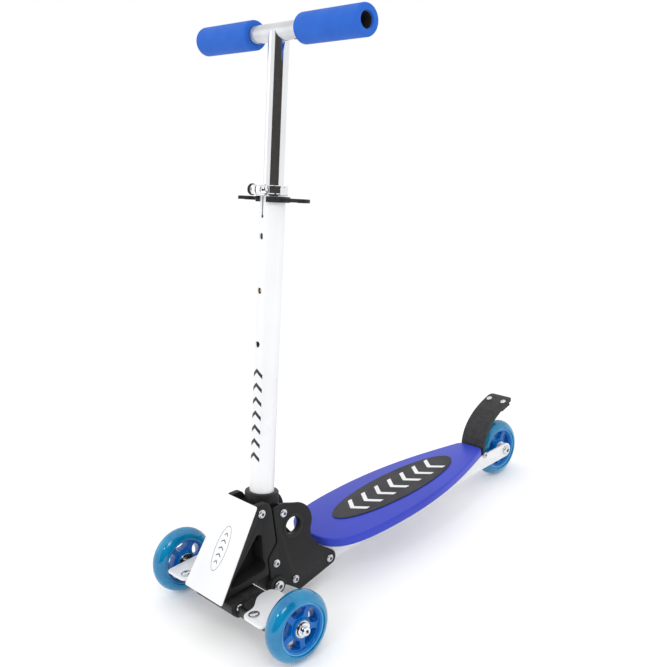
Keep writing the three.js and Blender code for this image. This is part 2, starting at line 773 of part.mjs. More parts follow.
function addHandlebar() {
  const top = barHeight - barRadius - gap;
  let upper = tubeZ(upperRadius, upperRadius - upperWall, upperBottom, top + barRadius);
  upper = upper.subtract(rodX(barRadius + gap, -60, 60, 0, barHeight));
  upper = upper.subtract(rodY(3.2, -30, 0, buttonHeight));
  add(stem, "upper_tube", upper, "chrome");

  const bush = tubeZ(lowerRadius - lowerWall - gap, upperRadius + gap, upperBottom, upperBottom + 22);
  add(stem, "guide_bush", bush, "blackPlastic");

  let bar = tubeX(barRadius, barRadius - barWall, -barHalf, barHalf, 0, barHeight);
  const buttonAt = barHalf - 8;
  for (const { side } of bothSides) {
    const hole = rodZ(3.2, barHeight - 30, barHeight, side * buttonAt, 0, 16);
    bar = bar.subtract(hole);
  }
  add(stem, "cross_tube", bar, "greyMetal");

  // The brass button sits inside the upper tube and shows in one of the three height holes.
  const tip = lowerRadius - lowerWall - gap;
  const seat = upperRadius - upperWall - 1.9; // its flange lies inside the tube's wall
  const rise = tip - seat;
  const button = turnedZ([
    [0, 0],
    [4.4, 0],
    [4.4, 0.8],
    [2.8, 0.8],
    [2.8, rise - 1.4],
    [1.6, rise - 0.3],
    [0, rise],
  ], 14)
    .rotate([90, 0, 0])
    .translate([0, -seat, buttonHeight]);
  add(stem, "height_button", button, "brass");

  const spigot = barRadius - barWall - gap;
  for (const { name, side } of bothSides) {
    let handle = tubeX(spigot, spigot - 1.5, barHalf - spigotLength, barHalf + 1, 0, barHeight);
    handle = handle.add(
      tubeX(barRadius, spigot - 1.5, barHalf + gap, handleEnd, 0, barHeight),
    );
    handle = handle.subtract(rodZ(3.2, barHeight - 30, barHeight, buttonAt, 0, 16));
    add(stem, "handle_tube_" + name, onSide(handle, side), "greyMetal");

    const grip = turnedX([
      [barRadius + gap, gripStart],
      [gripRadius - 4, gripStart],
      [gripRadius - 1, gripStart + 1.2],
      [gripRadius, gripStart + 4],
      [gripRadius, gripEnd - 4],
      [gripRadius - 1, gripEnd - 1.2],
      [gripRadius - 4, gripEnd],
      [gripBore, gripEnd],
      [gripBore, handleEnd + gap],
      [barRadius + gap, handleEnd + gap],
      [barRadius + gap, gripStart],
    ], 0, barHeight);
    add(stem, "foam_grip_" + name, onSide(grip, side), "foam");

    const catchTip = barRadius - barWall - gap / 2;
    const stud = turnedZ([[0, 0], [3.6, 0], [3.6, 0.6], [2.6, 0.6], [2.6, 2.6], [0, 3.4]], 10)
      .rotate([180, 0, 0])
      .translate([buttonAt, 0, barHeight - catchTip + 3.4]);
    add(stem, "handle_button_" + name, onSide(stud, side), "steel");
  }
}

// ---------------------------------------------------------------- rear brake

function addBrake() {
  const knuckle = 5;
  const { y, z } = brakePin;
  const hinge = rodX(knuckle, -brakeHalf, brakeHalf, y, z, 18);
  // The flap's back is one smooth curve, rising from the pin and leaning over the tyre.
  const flap = new THREE.Shape();
  const [far, high] = [y + flapReach, z + flapRise];
  flap.moveTo(y - 4, z + 3);
  flap.bezierCurveTo(y - 1, high - 39, far - 58, high - 13, far, high);
  flap.lineTo(far + 1, high - brakeSheet);
  flap.bezierCurveTo(far - 55, high - 15, y + 3, high - 41, y - 4 + brakeSheet + 1, z + 3);
  flap.closePath();
  let strip = slabX(flap, -flapHalf, flapHalf);
  for (const { side } of bothSides) {
    const besideArm = block([brakeHalf, y - 20, z - 20], [flapHalf + 1, y + 20, z + 6]);
    strip = strip.subtract(onSide(besideArm, side));
  }
  strip = strip.add(hinge);
  strip = strip.subtract(rodX(brakePin.radius + gap, -60, 60, y, z, boltSides));
  strip = strip.subtract(block([-7, y - 6, z - 6], [7, y + 6, z + 8]));
  const tilt = 14; // degrees, the slope of the flap where the pad hangs
  const onFlap = (solid) => solid.rotate([tilt, 0, 0]).translate([0, far - 14, high - 5.4]);
  const rivets = bothSides.map(({ name, side }) => ({ name, x: side * rivetSpread }));
  let pad = onFlap(block([-brakePadHalf, -11, -9], [brakePadHalf, 9, -brakeSheet - 0.4]));
  for (const rivet of rivets) {
    const hole = onFlap(rodZ(2.2 + gap, -20, 20, rivet.x, 0, 12));
    strip = strip.subtract(hole);
    pad = pad.subtract(hole);
  }
  add(scooter, "brake_flap", strip, "blackPlastic");
  add(scooter, "brake_pad", pad, "rubber");
  for (const rivet of rivets) {
    const body = turnedZ([[0, -8], [2.2, -8], [2.2, 2.2], [4.6, 2.2], [3.8, 3.6], [0, 4.3]], 10);
    add(scooter, "brake_rivet_" + rivet.name, onFlap(body.translate([rivet.x, 0, 0])), "steel");
  }

  const pinReach = armInner + sheet;
  const pin = { ...brakePin, head: 4.6 };
  add(scooter, "brake_pin", throughBolt(pin, pinReach), "steel");
  const spring = tubeX(4.4, brakePin.radius + gap, -6, 6, y, z);
  add(scooter, "brake_spring", spring, "steel");
}

// ---------------------------------------------------------------- assembly

addDeck();
addFrame();
addSidePlates();
addCasting();
addFrontCover();
addTruck();
addStem();
addHandlebar();
addBrake();
addWheel("front_wheel_left", halfTrack, 0);
addWheel("front_wheel_right", -halfTrack, 0);
addWheel("rear_wheel", 0, wheelbase);

const extent = new THREE.Box3().setFromObject(scooter, true);
scooter.position.set(0, -(extent.min.y + extent.max.y) / 2, -extent.min.z);

export default scooter;
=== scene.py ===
import json
from math import asin, atan2, cos, degrees, dist, hypot, pi, radians, sin, sqrt, tau
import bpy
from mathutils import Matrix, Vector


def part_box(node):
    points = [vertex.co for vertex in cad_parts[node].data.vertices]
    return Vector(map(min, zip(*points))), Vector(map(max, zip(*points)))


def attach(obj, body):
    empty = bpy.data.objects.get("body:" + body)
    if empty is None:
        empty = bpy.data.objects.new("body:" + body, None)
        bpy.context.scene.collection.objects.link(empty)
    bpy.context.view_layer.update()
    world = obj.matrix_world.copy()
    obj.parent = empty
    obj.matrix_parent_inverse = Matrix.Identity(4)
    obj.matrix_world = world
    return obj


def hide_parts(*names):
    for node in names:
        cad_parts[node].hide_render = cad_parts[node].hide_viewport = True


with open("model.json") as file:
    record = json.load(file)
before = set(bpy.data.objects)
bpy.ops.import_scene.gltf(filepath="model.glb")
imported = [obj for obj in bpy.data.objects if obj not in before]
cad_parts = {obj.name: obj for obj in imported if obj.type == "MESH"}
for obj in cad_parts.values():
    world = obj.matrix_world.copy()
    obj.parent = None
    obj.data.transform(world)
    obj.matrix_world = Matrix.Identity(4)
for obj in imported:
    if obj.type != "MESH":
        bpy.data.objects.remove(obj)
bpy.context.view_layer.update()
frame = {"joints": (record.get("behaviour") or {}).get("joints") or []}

from types import SimpleNamespace
import bmesh
import bpy
from mathutils import Matrix, Vector

# The frame's own landmark is the front axle, in metres.
tyreLow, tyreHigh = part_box("front_wheel_left_tyre")
frontAxle = (tyreLow + tyreHigh) / 2
mm = 0.001
xAxis = Vector((1, 0, 0))
sides = (("left", 1), ("right", -1))
through = 60  # half length of a cutter that goes right through, in mm


def at(x, y, z):  # a point in mm, counted from the front axle and the ground
    return Vector((x * mm, frontAxle.y + y * mm, z * mm))


# The stem's own line, found from the joint that the handlebar slides along.
joints = {joint["name"]: joint for joint in frame["joints"]}
foldBehind = 11  # how far the fold pin is behind the stem's line
stemUp = Vector(joints["height_slide"]["axis"]).normalized()
stemBack = Vector((0, stemUp.z, -stemUp.y))
stemMatrix = Matrix((xAxis, stemBack, stemUp)).transposed().to_4x4()
stemMatrix.translation = Vector(joints["stem_fold"]["pos_m"]) - stemBack * foldBehind * mm
axleShift = Matrix.Translation((0, frontAxle.y, 0))  # from the front axle's frame into the world
kingpinMatrix = Matrix.Translation((0, -6 * mm, 50 * mm)) @ Matrix.Rotation(radians(30), 4, "X")

# Places of the bolts and pins in mm (y, z) from the front axle and the ground.
wheelbase, axleHeight = 534, 45
rearAxle = (wheelbase, axleHeight)
pivotBolt, upperBolt, headBolt = (44.5, 42), (47, 73), (35, 149)
frontFrameBolt, rearFrameBolt = (74, 37), (135, 39)
brakePin, crossBolt = (481, 56), (-22, 46)
bracketBolt = (74, -25)  # (x, y), upright
pinHole, axleHole = 3.3, 4.3  # radii of the holes for the small bolts and for the axles


# Shared mesh work.
def addObject(name, data):
    made = bpy.data.objects.new(name, data)
    bpy.context.scene.collection.objects.link(made)
    return made


def bakeModifiers(piece):
    graph = bpy.context.evaluated_depsgraph_get()
    made = bpy.data.meshes.new_from_object(piece.evaluated_get(graph))
    old = piece.data
    piece.modifiers.clear()
    piece.data = made
    bpy.data.meshes.remove(old)


def softenShading(piece, sharp=35):
    piece.data.polygons.foreach_set("use_smooth", [True] * len(piece.data.polygons))
    piece.data.set_sharp_from_angle(angle=radians(sharp))


def movedBy(matrix, *solids):
    for bm in solids:
        bmesh.ops.transform(bm, matrix=matrix, verts=bm.verts)
    return solids


def fromAxle(*solids):
    return movedBy(axleShift, *solids)


def asMesh(bm, name="part"):
    mesh = bpy.data.meshes.new(name)
    bm.to_mesh(mesh)
    bm.free()
    return mesh


def addPiece(name, bm, material, place=None, sharp=35):
    bmesh.ops.remove_doubles(bm, verts=bm.verts, dist=1e-6)
    bmesh.ops.recalc_face_normals(bm, faces=bm.faces)
    if place is not None:
        movedBy(place, bm)
    piece = addObject(name, asMesh(bm, name))
    piece.data.materials.append(material)
    softenShading(piece, sharp)
    return piece


def settle(piece, body, node=None):  # a piece called X_fine stands for the node X
    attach(piece, body)
    if node or "_fine" in piece.name:
        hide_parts(node or piece.name.replace("_fine", ""))
    return piece


def spin(profile, axis="X", steps=72, centre=(0, 0, 0)):  # profile of (radius, along)
    bm = bmesh.new()
    around = {"X": xAxis, "Z": Vector((0, 0, 1)), "Y": Vector((0, 1, 0))}[axis]
    out = Vector((0, 0, 1)) if axis != "Z" else xAxis
    middle = Vector(centre)
    verts = [bm.verts.new(middle + out * r * mm + around * a * mm) for r, a in profile]
    edges = [bm.edges.new(pair) for pair in zip(verts, verts[1:])]
    if (Vector(profile[0]) - Vector(profile[-1])).length > 1e-6 and profile[0][0] > 0:
        edges.append(bm.edges.new((verts[-1], verts[0])))
    bmesh.ops.spin(bm, geom=verts + edges, cent=middle, axis=around, angle=tau,
        steps=steps, use_merge=True, use_duplicate=False)
    bmesh.ops.remove_doubles(bm, verts=bm.verts, dist=1e-6)
    bmesh.ops.recalc_face_normals(bm, faces=bm.faces)
    return bm


def arc(cu, cv, radius, start, end, steps=10):  # points of an arc, angles in degrees
    return [(cu + radius * cos(radians(start + (end - start) * i / steps)),
        cv + radius * sin(radians(start + (end - start) * i / steps))) for i in range(steps + 1)]


def dome(radius, foot, rise, stepDegrees, first, last):  # points up a domed head
    return [(radius * cos(a), foot + rise * sin(a)) for a in (radians(stepDegrees * i) for i in range(first, last))]


def hexagonAt(radius, u, v):
    return [(u + radius * cos(a), v + radius * sin(a)) for a in (tau * i / 6 for i in range(6))]


def ellipse(wide, long, middle, steps):
    return [(wide * cos(a), middle + long * sin(a)) for a in (tau * i / steps for i in range(steps))]


def span(sign, near, far):  # the two ends of a stretch on one side of the middle, in order
    return sorted((sign * near, sign * far))


def flipped(profile, sign):  # a profile for one side or the other
    return [(r, sign * along) for r, along in profile]


def fillet(points, radius, steps=5):  # rounds every corner of a closed outline
    result = []
    count = len(points)
    for i, (u, v) in enumerate(points):
        here = Vector((u, v))
        before = Vector(points[i - 1]) - here
        after = Vector(points[(i + 1) % count]) - here
        reach = min(radius, before.length * 0.45, after.length * 0.45)
        a, b = here + before.normalized() * reach, here + after.normalized() * reach
        for s in range(steps + 1):
            t = s / steps
            result.append(tuple(a * (1 - t) ** 2 + here * 2 * t * (1 - t) + b * t ** 2))
    return result


def slab(outline, low, high, axis="X"):  # an outline made solid between two distances
    bm = bmesh.new()
    flat = [(low, u, v) if axis == "X" else (u, v, low) for u, v in outline]
    move = Vector((high - low, 0, 0) if axis == "X" else (0, 0, high - low)) * mm
    face = bm.faces.new([bm.verts.new(Vector(corner) * mm) for corner in flat])
    made = bmesh.ops.extrude_face_region(bm, geom=[face])
    moved = [v for v in made["geom"] if isinstance(v, bmesh.types.BMVert)]
    bmesh.ops.translate(bm, vec=move, verts=moved)
    bmesh.ops.recalc_face_normals(bm, faces=bm.faces)
    return bm


def box(low, high):
    bm = bmesh.new()
    bmesh.ops.create_cube(bm, size=1)
    bmesh.ops.scale(bm, vec=(Vector(high) - Vector(low)) * mm, verts=bm.verts)
    bmesh.ops.translate(bm, vec=(Vector(low) + Vector(high)) / 2 * mm, verts=bm.verts)
    return bm


def rod(radius, low, high, axis, centre=(0, 0), steps=32):  # centre in the two other axes
    point = {"X": (0, *centre), "Y": (centre[0], 0, centre[1]), "Z": (*centre, 0)}[axis]
    return spin([(0, low), (radius, low), (radius, high), (0, high)], axis, steps, Vector(point) * mm)


def crossRod(radius, centre, steps=32):  # a cutter right across the scooter
    return rod(radius, -through, through, "X", centre, steps)


def joined(*parts):  # several solids or pieces as one mesh
    whole = bmesh.new()
    for part in parts:
        if isinstance(part, bpy.types.Object):
            whole.from_mesh(part.data)
            bpy.data.objects.remove(part)
            continue
        mesh = asMesh(part)
        whole.from_mesh(mesh)
        bpy.data.meshes.remove(mesh)
    return whole


def joinBodies(piece, *others):  # several shells as one piece, for parts moulded in one
    whole = bmesh.new()
    whole.from_mesh(piece.data)
    rest = joined(*others)
    mesh = asMesh(rest)
    whole.from_mesh(mesh)
    bpy.data.meshes.remove(mesh)
    whole.to_mesh(piece.data)
    whole.free()
    softenShading(piece)


def combine(piece, operation, *solids):  # cuts or joins solids, one after another
    for bm in solids:
        mesh = asMesh(bm, "tool")
        tool = addObject("tool", mesh)
        step = piece.modifiers.new("step", "BOOLEAN")
        step.operation, step.object, step.solver = operation, tool, "EXACT"
        bakeModifiers(piece)
        bpy.data.objects.remove(tool)
        bpy.data.meshes.remove(mesh)


def cut(piece, *solids):
    combine(piece, "DIFFERENCE", *solids)


def weld(piece, *solids):
    combine(piece, "UNION", *solids)


def roundEdges(piece, width, segments=2, limit=50, sharp=38):
    bevel = piece.modifiers.new("edge", "BEVEL")
    bevel.width, bevel.segments, bevel.profile = width * mm, segments, 0.5
    bevel.limit_method, bevel.angle_limit = "ANGLE", radians(limit)
    bevel.harden_normals = False
    bakeModifiers(piece)
    softenShading(piece, sharp)


def placeRounded(piece, matrix, width):  # carries a finished shape to its place, then softens its edges
    piece.data.transform(matrix)
    roundEdges(piece, width)


# Shared shader groups.
def newNode(tree, kind, **settings):  # a setting is a number, a tuple or another node's output
    node = tree.nodes.new("ShaderNode" + kind)
    feed(tree, node, {label.replace("_", " "): value for label, value in settings.items()})
    return node


def feed(tree, node, settings):
    for label, value in settings.items():
        if isinstance(value, bpy.types.NodeSocket):
            tree.links.new(value, node.inputs[label])
        else:
            node.inputs[label].default_value = value


def startGroup(name, inputs, outputs):
    group = bpy.data.node_groups.new(name, "ShaderNodeTree")
    for label, value in inputs:
        group.interface.new_socket(label, in_out="INPUT", socket_type="NodeSocketFloat").default_value = value
    for label in outputs:
        group.interface.new_socket(label, in_out="OUTPUT", socket_type="NodeSocketFloat")
    return group, group.nodes.new("NodeGroupInput").outputs, group.nodes.new("NodeGroupOutput")


def mathNode(tree, operation, a, b):
    node = tree.nodes.new("ShaderNodeMath")
    node.operation = operation
    feed(tree, node, {0: a, 1: b})
    return node.outputs[0]


def objectPlace(tree):
    return newNode(tree, "TexCoord").outputs["Object"]


def makeHandling():  # soft blotches, fine grain and thin scratches, from Object coordinates
    group, given, out = startGroup("handling", [("Blotch Scale", 18.0), ("Grain Scale", 900.0),
        ("Scratch Scale", 60.0)], ["Blotch", "Grain", "Scratch"])
    place = objectPlace(group)
    blotch = newNode(group, "TexNoise", Detail=4, Vector=place, Scale=given["Blotch Scale"])
    grain = newNode(group, "TexNoise", Detail=2, Vector=place, Scale=given["Grain Scale"])
    stretch = newNode(group, "Mapping", Scale=(1.0, 14.0, 9.0), Rotation=(0.3, 0.5, 0.9), Vector=place)
    scratch = newNode(group, "TexNoise", Detail=6, Vector=stretch.outputs["Vector"], Scale=given["Scratch Scale"])
    thin = newNode(group, "MapRange", From_Min=0.66, From_Max=0.72, Value=scratch.outputs["Fac"])
    feed(group, out, {"Blotch": blotch.outputs["Fac"], "Grain": grain.outputs["Fac"],
        "Scratch": thin.outputs["Result"]})
    return group


def makeEdgeWearAndCreaseShade():  # light on worn edges, painted shade in the creases, from the mesh's own curvature
    group, given, out = startGroup("edgeWearAndCreaseShade", [("Amount", 0.5)], ["Edge", "Crease"])
    bend = newNode(group, "NewGeometry").outputs["Pointiness"]
    breakUp = newNode(group, "TexNoise", Scale=160, Detail=4, Vector=objectPlace(group))
    edge = newNode(group, "MapRange", From_Min=0.52, From_Max=0.62, Value=bend)
    rough = mathNode(group, "MULTIPLY", edge.outputs["Result"], breakUp.outputs["Fac"])
    creaseShade = newNode(group, "MapRange", From_Min=0.49, From_Max=0.42, Value=bend)
    feed(group, out, {"Edge": mathNode(group, "MULTIPLY", rough, given["Amount"]),
        "Crease": mathNode(group, "MULTIPLY", creaseShade.outputs["Result"], given["Amount"])})
    return group


handlingGroup = makeHandling()
wearAndShadeGroup = makeEdgeWearAndCreaseShade()


# Materials.
def startMaterial(name, handling=(18.0, 900.0, 60.0), wear=0.5):
    material = bpy.data.materials.new(name)
    material.use_nodes = True
    tree = material.node_tree
    marks, edges = tree.nodes.new("ShaderNodeGroup"), tree.nodes.new("ShaderNodeGroup")
    marks.node_tree, edges.node_tree = handlingGroup, wearAndShadeGroup
    feed(tree, marks, dict(zip(("Blotch Scale", "Grain Scale", "Scratch Scale"), handling)))
    feed(tree, edges, {"Amount": wear})
    return material, tree, tree.nodes["Principled BSDF"], marks.outputs, edges.outputs


def mixColour(tree, amount, first, second):
    node = tree.nodes.new("ShaderNodeMix")
    node.data_type = "RGBA"
    feed(tree, node, {0: amount, **{index: colour if isinstance(colour, bpy.types.NodeSocket) else (*colour, 1)
        for index, colour in ((6, first), (7, second))}})
    return node.outputs[2]


def remap(tree, value, low, high, fromLow=0.3, fromHigh=0.7):
    return newNode(tree, "MapRange", From_Min=fromLow, From_Max=fromHigh, To_Min=low, To_Max=high,
        Value=value).outputs["Result"]


def blotchy(tree, marks, dark, light):
    return mixColour(tree, remap(tree, marks["Blotch"], 0, 1), dark, light)


def bump(tree, shader, height, strength, distance=0.0003):
    node = newNode(tree, "Bump", Strength=strength, Distance=distance, Height=height)
    tree.links.new(node.outputs["Normal"], shader.inputs["Normal"])


def plainMaterial(name, dark, light, rough, worn=None, metal=0.0, coat=0.0, coatRough=0.1,
        grainBump=0.1, wear=0.4, handling=(18.0, 900.0, 60.0), specular=0.5):
    material, tree, shader, marks, edges = startMaterial(name, handling, wear)
    colour = blotchy(tree, marks, dark, light)
    if worn is not None:
        colour = mixColour(tree, edges["Edge"], colour, worn)
    scuff = mathNode(tree, "MULTIPLY", marks["Scratch"], 0.12)
    # painted shade: the creases are darkened towards 55% of the dark tone
    feed(tree, shader, { "Base Color": mixColour(tree, edges["Crease"], colour, tuple(c * 0.55 for c in dark)),
        "Roughness": mathNode(tree, "ADD", remap(tree, marks["Blotch"], *rough), scuff),
        "Metallic": metal, "Coat Weight": coat, "Coat Roughness": coatRough, "Specular IOR Level": specular})
    bump(tree, shader, marks["Grain"], grainBump)
    return material


def makeTyreMaterial(name, deep, clear):  # tinted see-through urethane, paler where it is thin
    material, tree, shader, marks, edges = startMaterial(name, (30.0, 700.0, 90.0), 0.2)
    feed(tree, shader, {"Base Color": blotchy(tree, marks, deep, clear),
        "Roughness": remap(tree, marks["Blotch"], 0.06, 0.14), "Transmission Weight": 0.3,
        "IOR": 1.45, "Specular IOR Level": 0.4, "Coat Weight": 0.6, "Coat Roughness": 0.03})
    bump(tree, shader, marks["Grain"], 0.03)
    return material


def makeFoamMaterial():  # closed-cell foam sleeve: fine pores with painted shade in them, a soft bloom, a slightly mottled skin
    material, tree, shader, marks, edges = startMaterial("blueFoam", (40.0, 1500.0, 30.0), 0.3)
    pores = newNode(tree, "TexVoronoi", Scale=1100, Vector=objectPlace(tree)).outputs["Distance"]
    skin = blotchy(tree, marks, (0.02, 0.11, 0.5), (0.024, 0.13, 0.56))
    # painted shade: the pores are darkened
    pitted = mixColour(tree, remap(tree, pores, 0.35, 0.0, 0.0, 0.4), skin, (0.01, 0.07, 0.4))
    feed(tree, shader, {"Base Color": pitted, "Roughness": remap(tree, marks["Grain"], 0.72, 0.92),
        "Specular IOR Level": 0.12, "Sheen Weight": 0.08, "Sheen Roughness": 0.5})
    bump(tree, shader, pores, 0.35, 0.0004)
    return material


def makeGritMaterial():  # sanded non-slip sheet
    material, tree, shader, marks, edges = startMaterial("grittyPad", (25.0, 1600.0, 60.0), 0.3)
    grit = newNode(tree, "TexVoronoi", Scale=900, Vector=objectPlace(tree)).outputs["Distance"]
    base = blotchy(tree, marks, (0.028, 0.028, 0.032), (0.05, 0.05, 0.056))
    sparkle = mixColour(tree, remap(tree, grit, 0.5, 0.0, 0.05, 0.3), base, (0.16, 0.16, 0.17))
    feed(tree, shader, {"Base Color": sparkle, "Roughness": remap(tree, marks["Grain"], 0.7, 0.95)})
    bump(tree, shader, grit, 0.6, 0.0006)
    return material


def makeBrushed(name, dark, light, rough):  # drawn or zinc-plated metal with a fine lay along X
    material, tree, shader, marks, edges = startMaterial(name, (35.0, 800.0, 120.0), 0.5)
    lay = newNode(tree, "Mapping", Scale=(40, 1400, 1400), Vector=objectPlace(tree))
    grain = newNode(tree, "TexNoise", Scale=1, Detail=3, Vector=lay.outputs["Vector"]).outputs["Fac"]
    tone = blotchy(tree, marks, dark, light)
    # painted shade: the creases are darkened towards 35% of the dark tone
    feed(tree, shader, {"Base Color": mixColour(tree, edges["Crease"], tone, tuple(c * 0.35 for c in dark)),
        "Roughness": remap(tree, grain, *rough), "Metallic": 1})
    bump(tree, shader, grain, 0.06, 0.0001)
    return material


whitePaint = plainMaterial("whitePaint", (0.76, 0.77, 0.785), (0.83, 0.835, 0.85), (0.24, 0.36),
    coat=0.35, coatRough=0.08, grainBump=0.05, wear=0.0, handling=(9.0, 420.0, 50.0))
blackPlastic = plainMaterial("blackPlastic", (0.009, 0.009, 0.0095), (0.016, 0.016, 0.0165), (0.36, 0.52),
    worn=(0.07, 0.07, 0.073), grainBump=0.16, wear=0.7, handling=(14.0, 1100.0, 70.0), specular=0.2)
deckBlue = plainMaterial("deckBlue", (0.022, 0.036, 0.42), (0.034, 0.056, 0.51), (0.28, 0.4),
    worn=(0.08, 0.10, 0.68), coat=0.12, coatRough=0.15, grainBump=0.1, wear=0.5,
    handling=(8.0, 850.0, 55.0), specular=0.25)
hubBlue = plainMaterial("hubBlue", (0.0, 0.10, 0.40), (0.0, 0.15, 0.52), (0.14, 0.25),
    worn=(0.02, 0.32, 0.7), coat=0.2, coatRough=0.08, grainBump=0.03, wear=0.9, specular=0.25)
rimLineBlue = plainMaterial("rimLineBlue", (0.05, 0.33, 0.62), (0.09, 0.42, 0.7), (0.15, 0.25),
    coat=0.5, grainBump=0.02, wear=0.3)
markWhite = plainMaterial("markWhite", (0.72, 0.72, 0.73), (0.84, 0.84, 0.84), (0.5, 0.7),
    grainBump=0.4, wear=0.2, handling=(60.0, 1300.0, 80.0))
markBlack = plainMaterial("markBlack", (0.015, 0.015, 0.017), (0.03, 0.03, 0.033), (0.35, 0.5),
    grainBump=0.1, wear=0.2)
rubberBlack = plainMaterial("rubberBlack", (0.012, 0.012, 0.012), (0.028, 0.028, 0.028), (0.6, 0.8),
    grainBump=0.4, wear=0.4)
brassBright = makeBrushed("brassBright", (0.62, 0.42, 0.14), (0.75, 0.53, 0.2), (0.2, 0.34))
tyreClear = makeTyreMaterial("clearAzure", (0.0, 0.19, 0.44), (0.0, 0.34, 0.64))
# painted shade, near black, for the inside of the handle tubes
bareInside = plainMaterial("bareInside", (0.012, 0.012, 0.013), (0.03, 0.028, 0.027), (0.7, 0.9), wear=0.0,
    specular=0.1)
darkCloth = plainMaterial("darkCloth", (0.03, 0.027, 0.024), (0.05, 0.045, 0.04), (0.8, 0.95), wear=0.0)
foamBlue = makeFoamMaterial()
gritPad = makeGritMaterial()
chrome = plainMaterial("chromePlate", (0.74, 0.75, 0.77), (0.84, 0.85, 0.87), (0.05, 0.1),
    metal=1.0, grainBump=0.008, wear=0.2, handling=(12.0, 500.0, 45.0))
satinAlloy = makeBrushed("satinAlloy", (0.60, 0.61, 0.63), (0.72, 0.73, 0.75), (0.28, 0.42))
zincSteel = makeBrushed("zincSteel", (0.55, 0.56, 0.58), (0.74, 0.75, 0.77), (0.16, 0.3))
print("materials ready")


# Wheels: a clear tyre, a five-windowed core and two bearings.

wheelLooks = {"shoulder": 31.5, "half": 13.5, "bead": 10.5, "seat": 32.3, "rim": 32, "inside": 28.6, "web": 8.0,
    "hub": 13, "bore": 11.3, "windows": 5, "spoke": 7.5, "windowIn": 15.8, "windowOut": 27.0,
    "bearing": 7, "shield": 0.35}


def addWheel(prefix, body, x, y):
    w = SimpleNamespace(**wheelLooks)
    centre = at(0, y, axleHeight)
    crown = [(w.shoulder + w.half * sin(a), x - w.half * cos(a))
        for a in (radians(8 + 164 * i / 30) for i in range(31))]
    inner = [(w.seat, x + w.bead - 0.4), (w.seat, x - w.bead + 0.4)]
    lips = [(w.seat + 0.4, x - w.bead - 0.3)] + crown + [(w.seat + 0.4, x + w.bead + 0.3)]
    tyre = addPiece(prefix + "_tyre_fine", spin(lips + inner, "X", 112, centre), tyreClear)
    settle(tyre, body)

    ring = [(w.rim, x - w.bead), (w.rim, x + w.bead), (w.rim - 1.6, x + w.bead + 0.5), (w.inside + 0.4, x + w.bead),
        (w.inside - 0.6, x + w.web + 0.8), (w.inside - 0.6, x - w.web - 0.8),
        (w.inside + 0.4, x - w.bead), (w.rim - 1.6, x - w.bead - 0.5)]
    core = addPiece(prefix + "_core", spin(ring, "X", 96, centre), hubBlue)
    dish = w.web - 1.4  # the web is a little thinner in the middle of its width
    web = [(w.hub - 1, x - w.web), (w.hub + 3, x - w.web), (21, x - dish), (w.inside, x - w.web),
        (w.inside, x + w.web), (21, x + dish), (w.hub + 3, x + w.web), (w.hub - 1, x + w.web)]
    out = w.half - 2
    barrel = [(8, x - 4), (8, x + 4), (w.bore, x + 4.2), (w.bore, x + out - 0.4),
        (w.bore + 0.4, x + out), (w.hub - 0.4, x + out), (w.hub + 0.8, x + w.web),
        (w.hub + 0.8, x - w.web), (w.hub - 0.4, x - out), (w.bore + 0.4, x - out),
        (w.bore, x - out + 0.4), (w.bore, x - 4.2)]
    webBody = addPiece("web", spin(web, "X", 96, centre), hubBlue)
    turn = tau / w.windows
    near, far = (turn / 2 - asin(w.spoke / 2 / r) for r in (w.windowIn, w.windowOut))
    corners = [(w.windowIn, -near), (w.windowIn, near)] + [(w.windowOut, far * (1 - k / 2)) for k in range(5)]
    for i in range(w.windows):  # each window is a rounded trapezium between two spokes
        outline = fillet([(sin(turn * i + a) * r, axleHeight + cos(turn * i + a) * r) for r, a in corners], 3.4, 5)
        cut(webBody, *fromAxle(slab([(y + u, v) for u, v in outline], x - 12, x + 12)))
    joinBodies(core, webBody, spin(barrel, "X", 72, centre))
    roundEdges(core, 0.5, 2, 50, 50)
    settle(core, body, prefix + "_hub")

    lineProfile = [(w.rim - 1.1, x + w.bead + 0.1), (w.rim + 0.9, x + w.bead + 0.1), (w.rim + 0.7, x + w.bead + 0.9),
        (w.rim - 0.2, x + w.bead + 1.3), (w.rim - 1.0, x + w.bead + 0.9)]
    mirrored = [(r, 2 * x - along) for r, along in reversed(lineProfile)]
    lines = joined(spin(lineProfile, "X", 112, centre), spin(mirrored, "X", 112, centre))
    settle(addPiece(prefix + "_rim_line", lines, rimLineBlue), body)

    half = [(4.4, 0.3), (4.7, 0), (6.3, 0), (6.4, w.shield), (9.3, w.shield), (9.4, 0), (10.7, 0), (11, 0.3)]
    for name, near in (("outer", x + out - w.bearing), ("inner", x - out)):
        far = near + w.bearing
        section = [(r, near + deep) for r, deep in half] + [(r, far - deep) for r, deep in reversed(half)]
        bearing = addPiece(f"{prefix}_race_{name}", spin(section, "X", 64, centre), zincSteel, sharp=25)
        settle(bearing, body, f"{prefix}_bearing_{name}")


addWheel("front_wheel_left", "wheel_left", 124, 0)
addWheel("front_wheel_right", "wheel_right", -124, 0)
addWheel("rear_wheel", "wheel_rear", 0, wheelbase)
print("wheels ready")


# Bolts: a domed head with a socket, and a hexagon nut on the far end.
def addThroughBolt(node, body, place, radius, head, halfGrip):
    face = halfGrip + 0.3
    high = head * 0.55
    profile = [(0, -face + 0.2), (radius, -face + 0.2), (radius, face), (head, face), (head, face + high * 0.25)]
    profile += [(head * cos(a), face + high * (0.25 + 0.75 * sin(a)))
        for a in (radians(12 + 66 * i / 6) for i in range(7))] + [(0, face + high)]
    centre = at(0, *place)
    bolt = addPiece(node + "_fine", spin(profile, "X", 40, centre), zincSteel, sharp=50)
    cut(bolt, *fromAxle(slab(hexagonAt(head * 0.42, *place), face + high * 0.3, face + high + 2)))
    nut = [(0, 0), (0.98, 0), (0.98, 0.5), (0.86, 0.6), (0.86, high * 0.75), (0.6, high * 0.78), (0.52, high),
        (0, high)]
    joinBodies(bolt, spin([(head * r, -face - deep) for r, deep in nut], "X", 6, centre))
    softenShading(bolt, 28)
    settle(bolt, body)


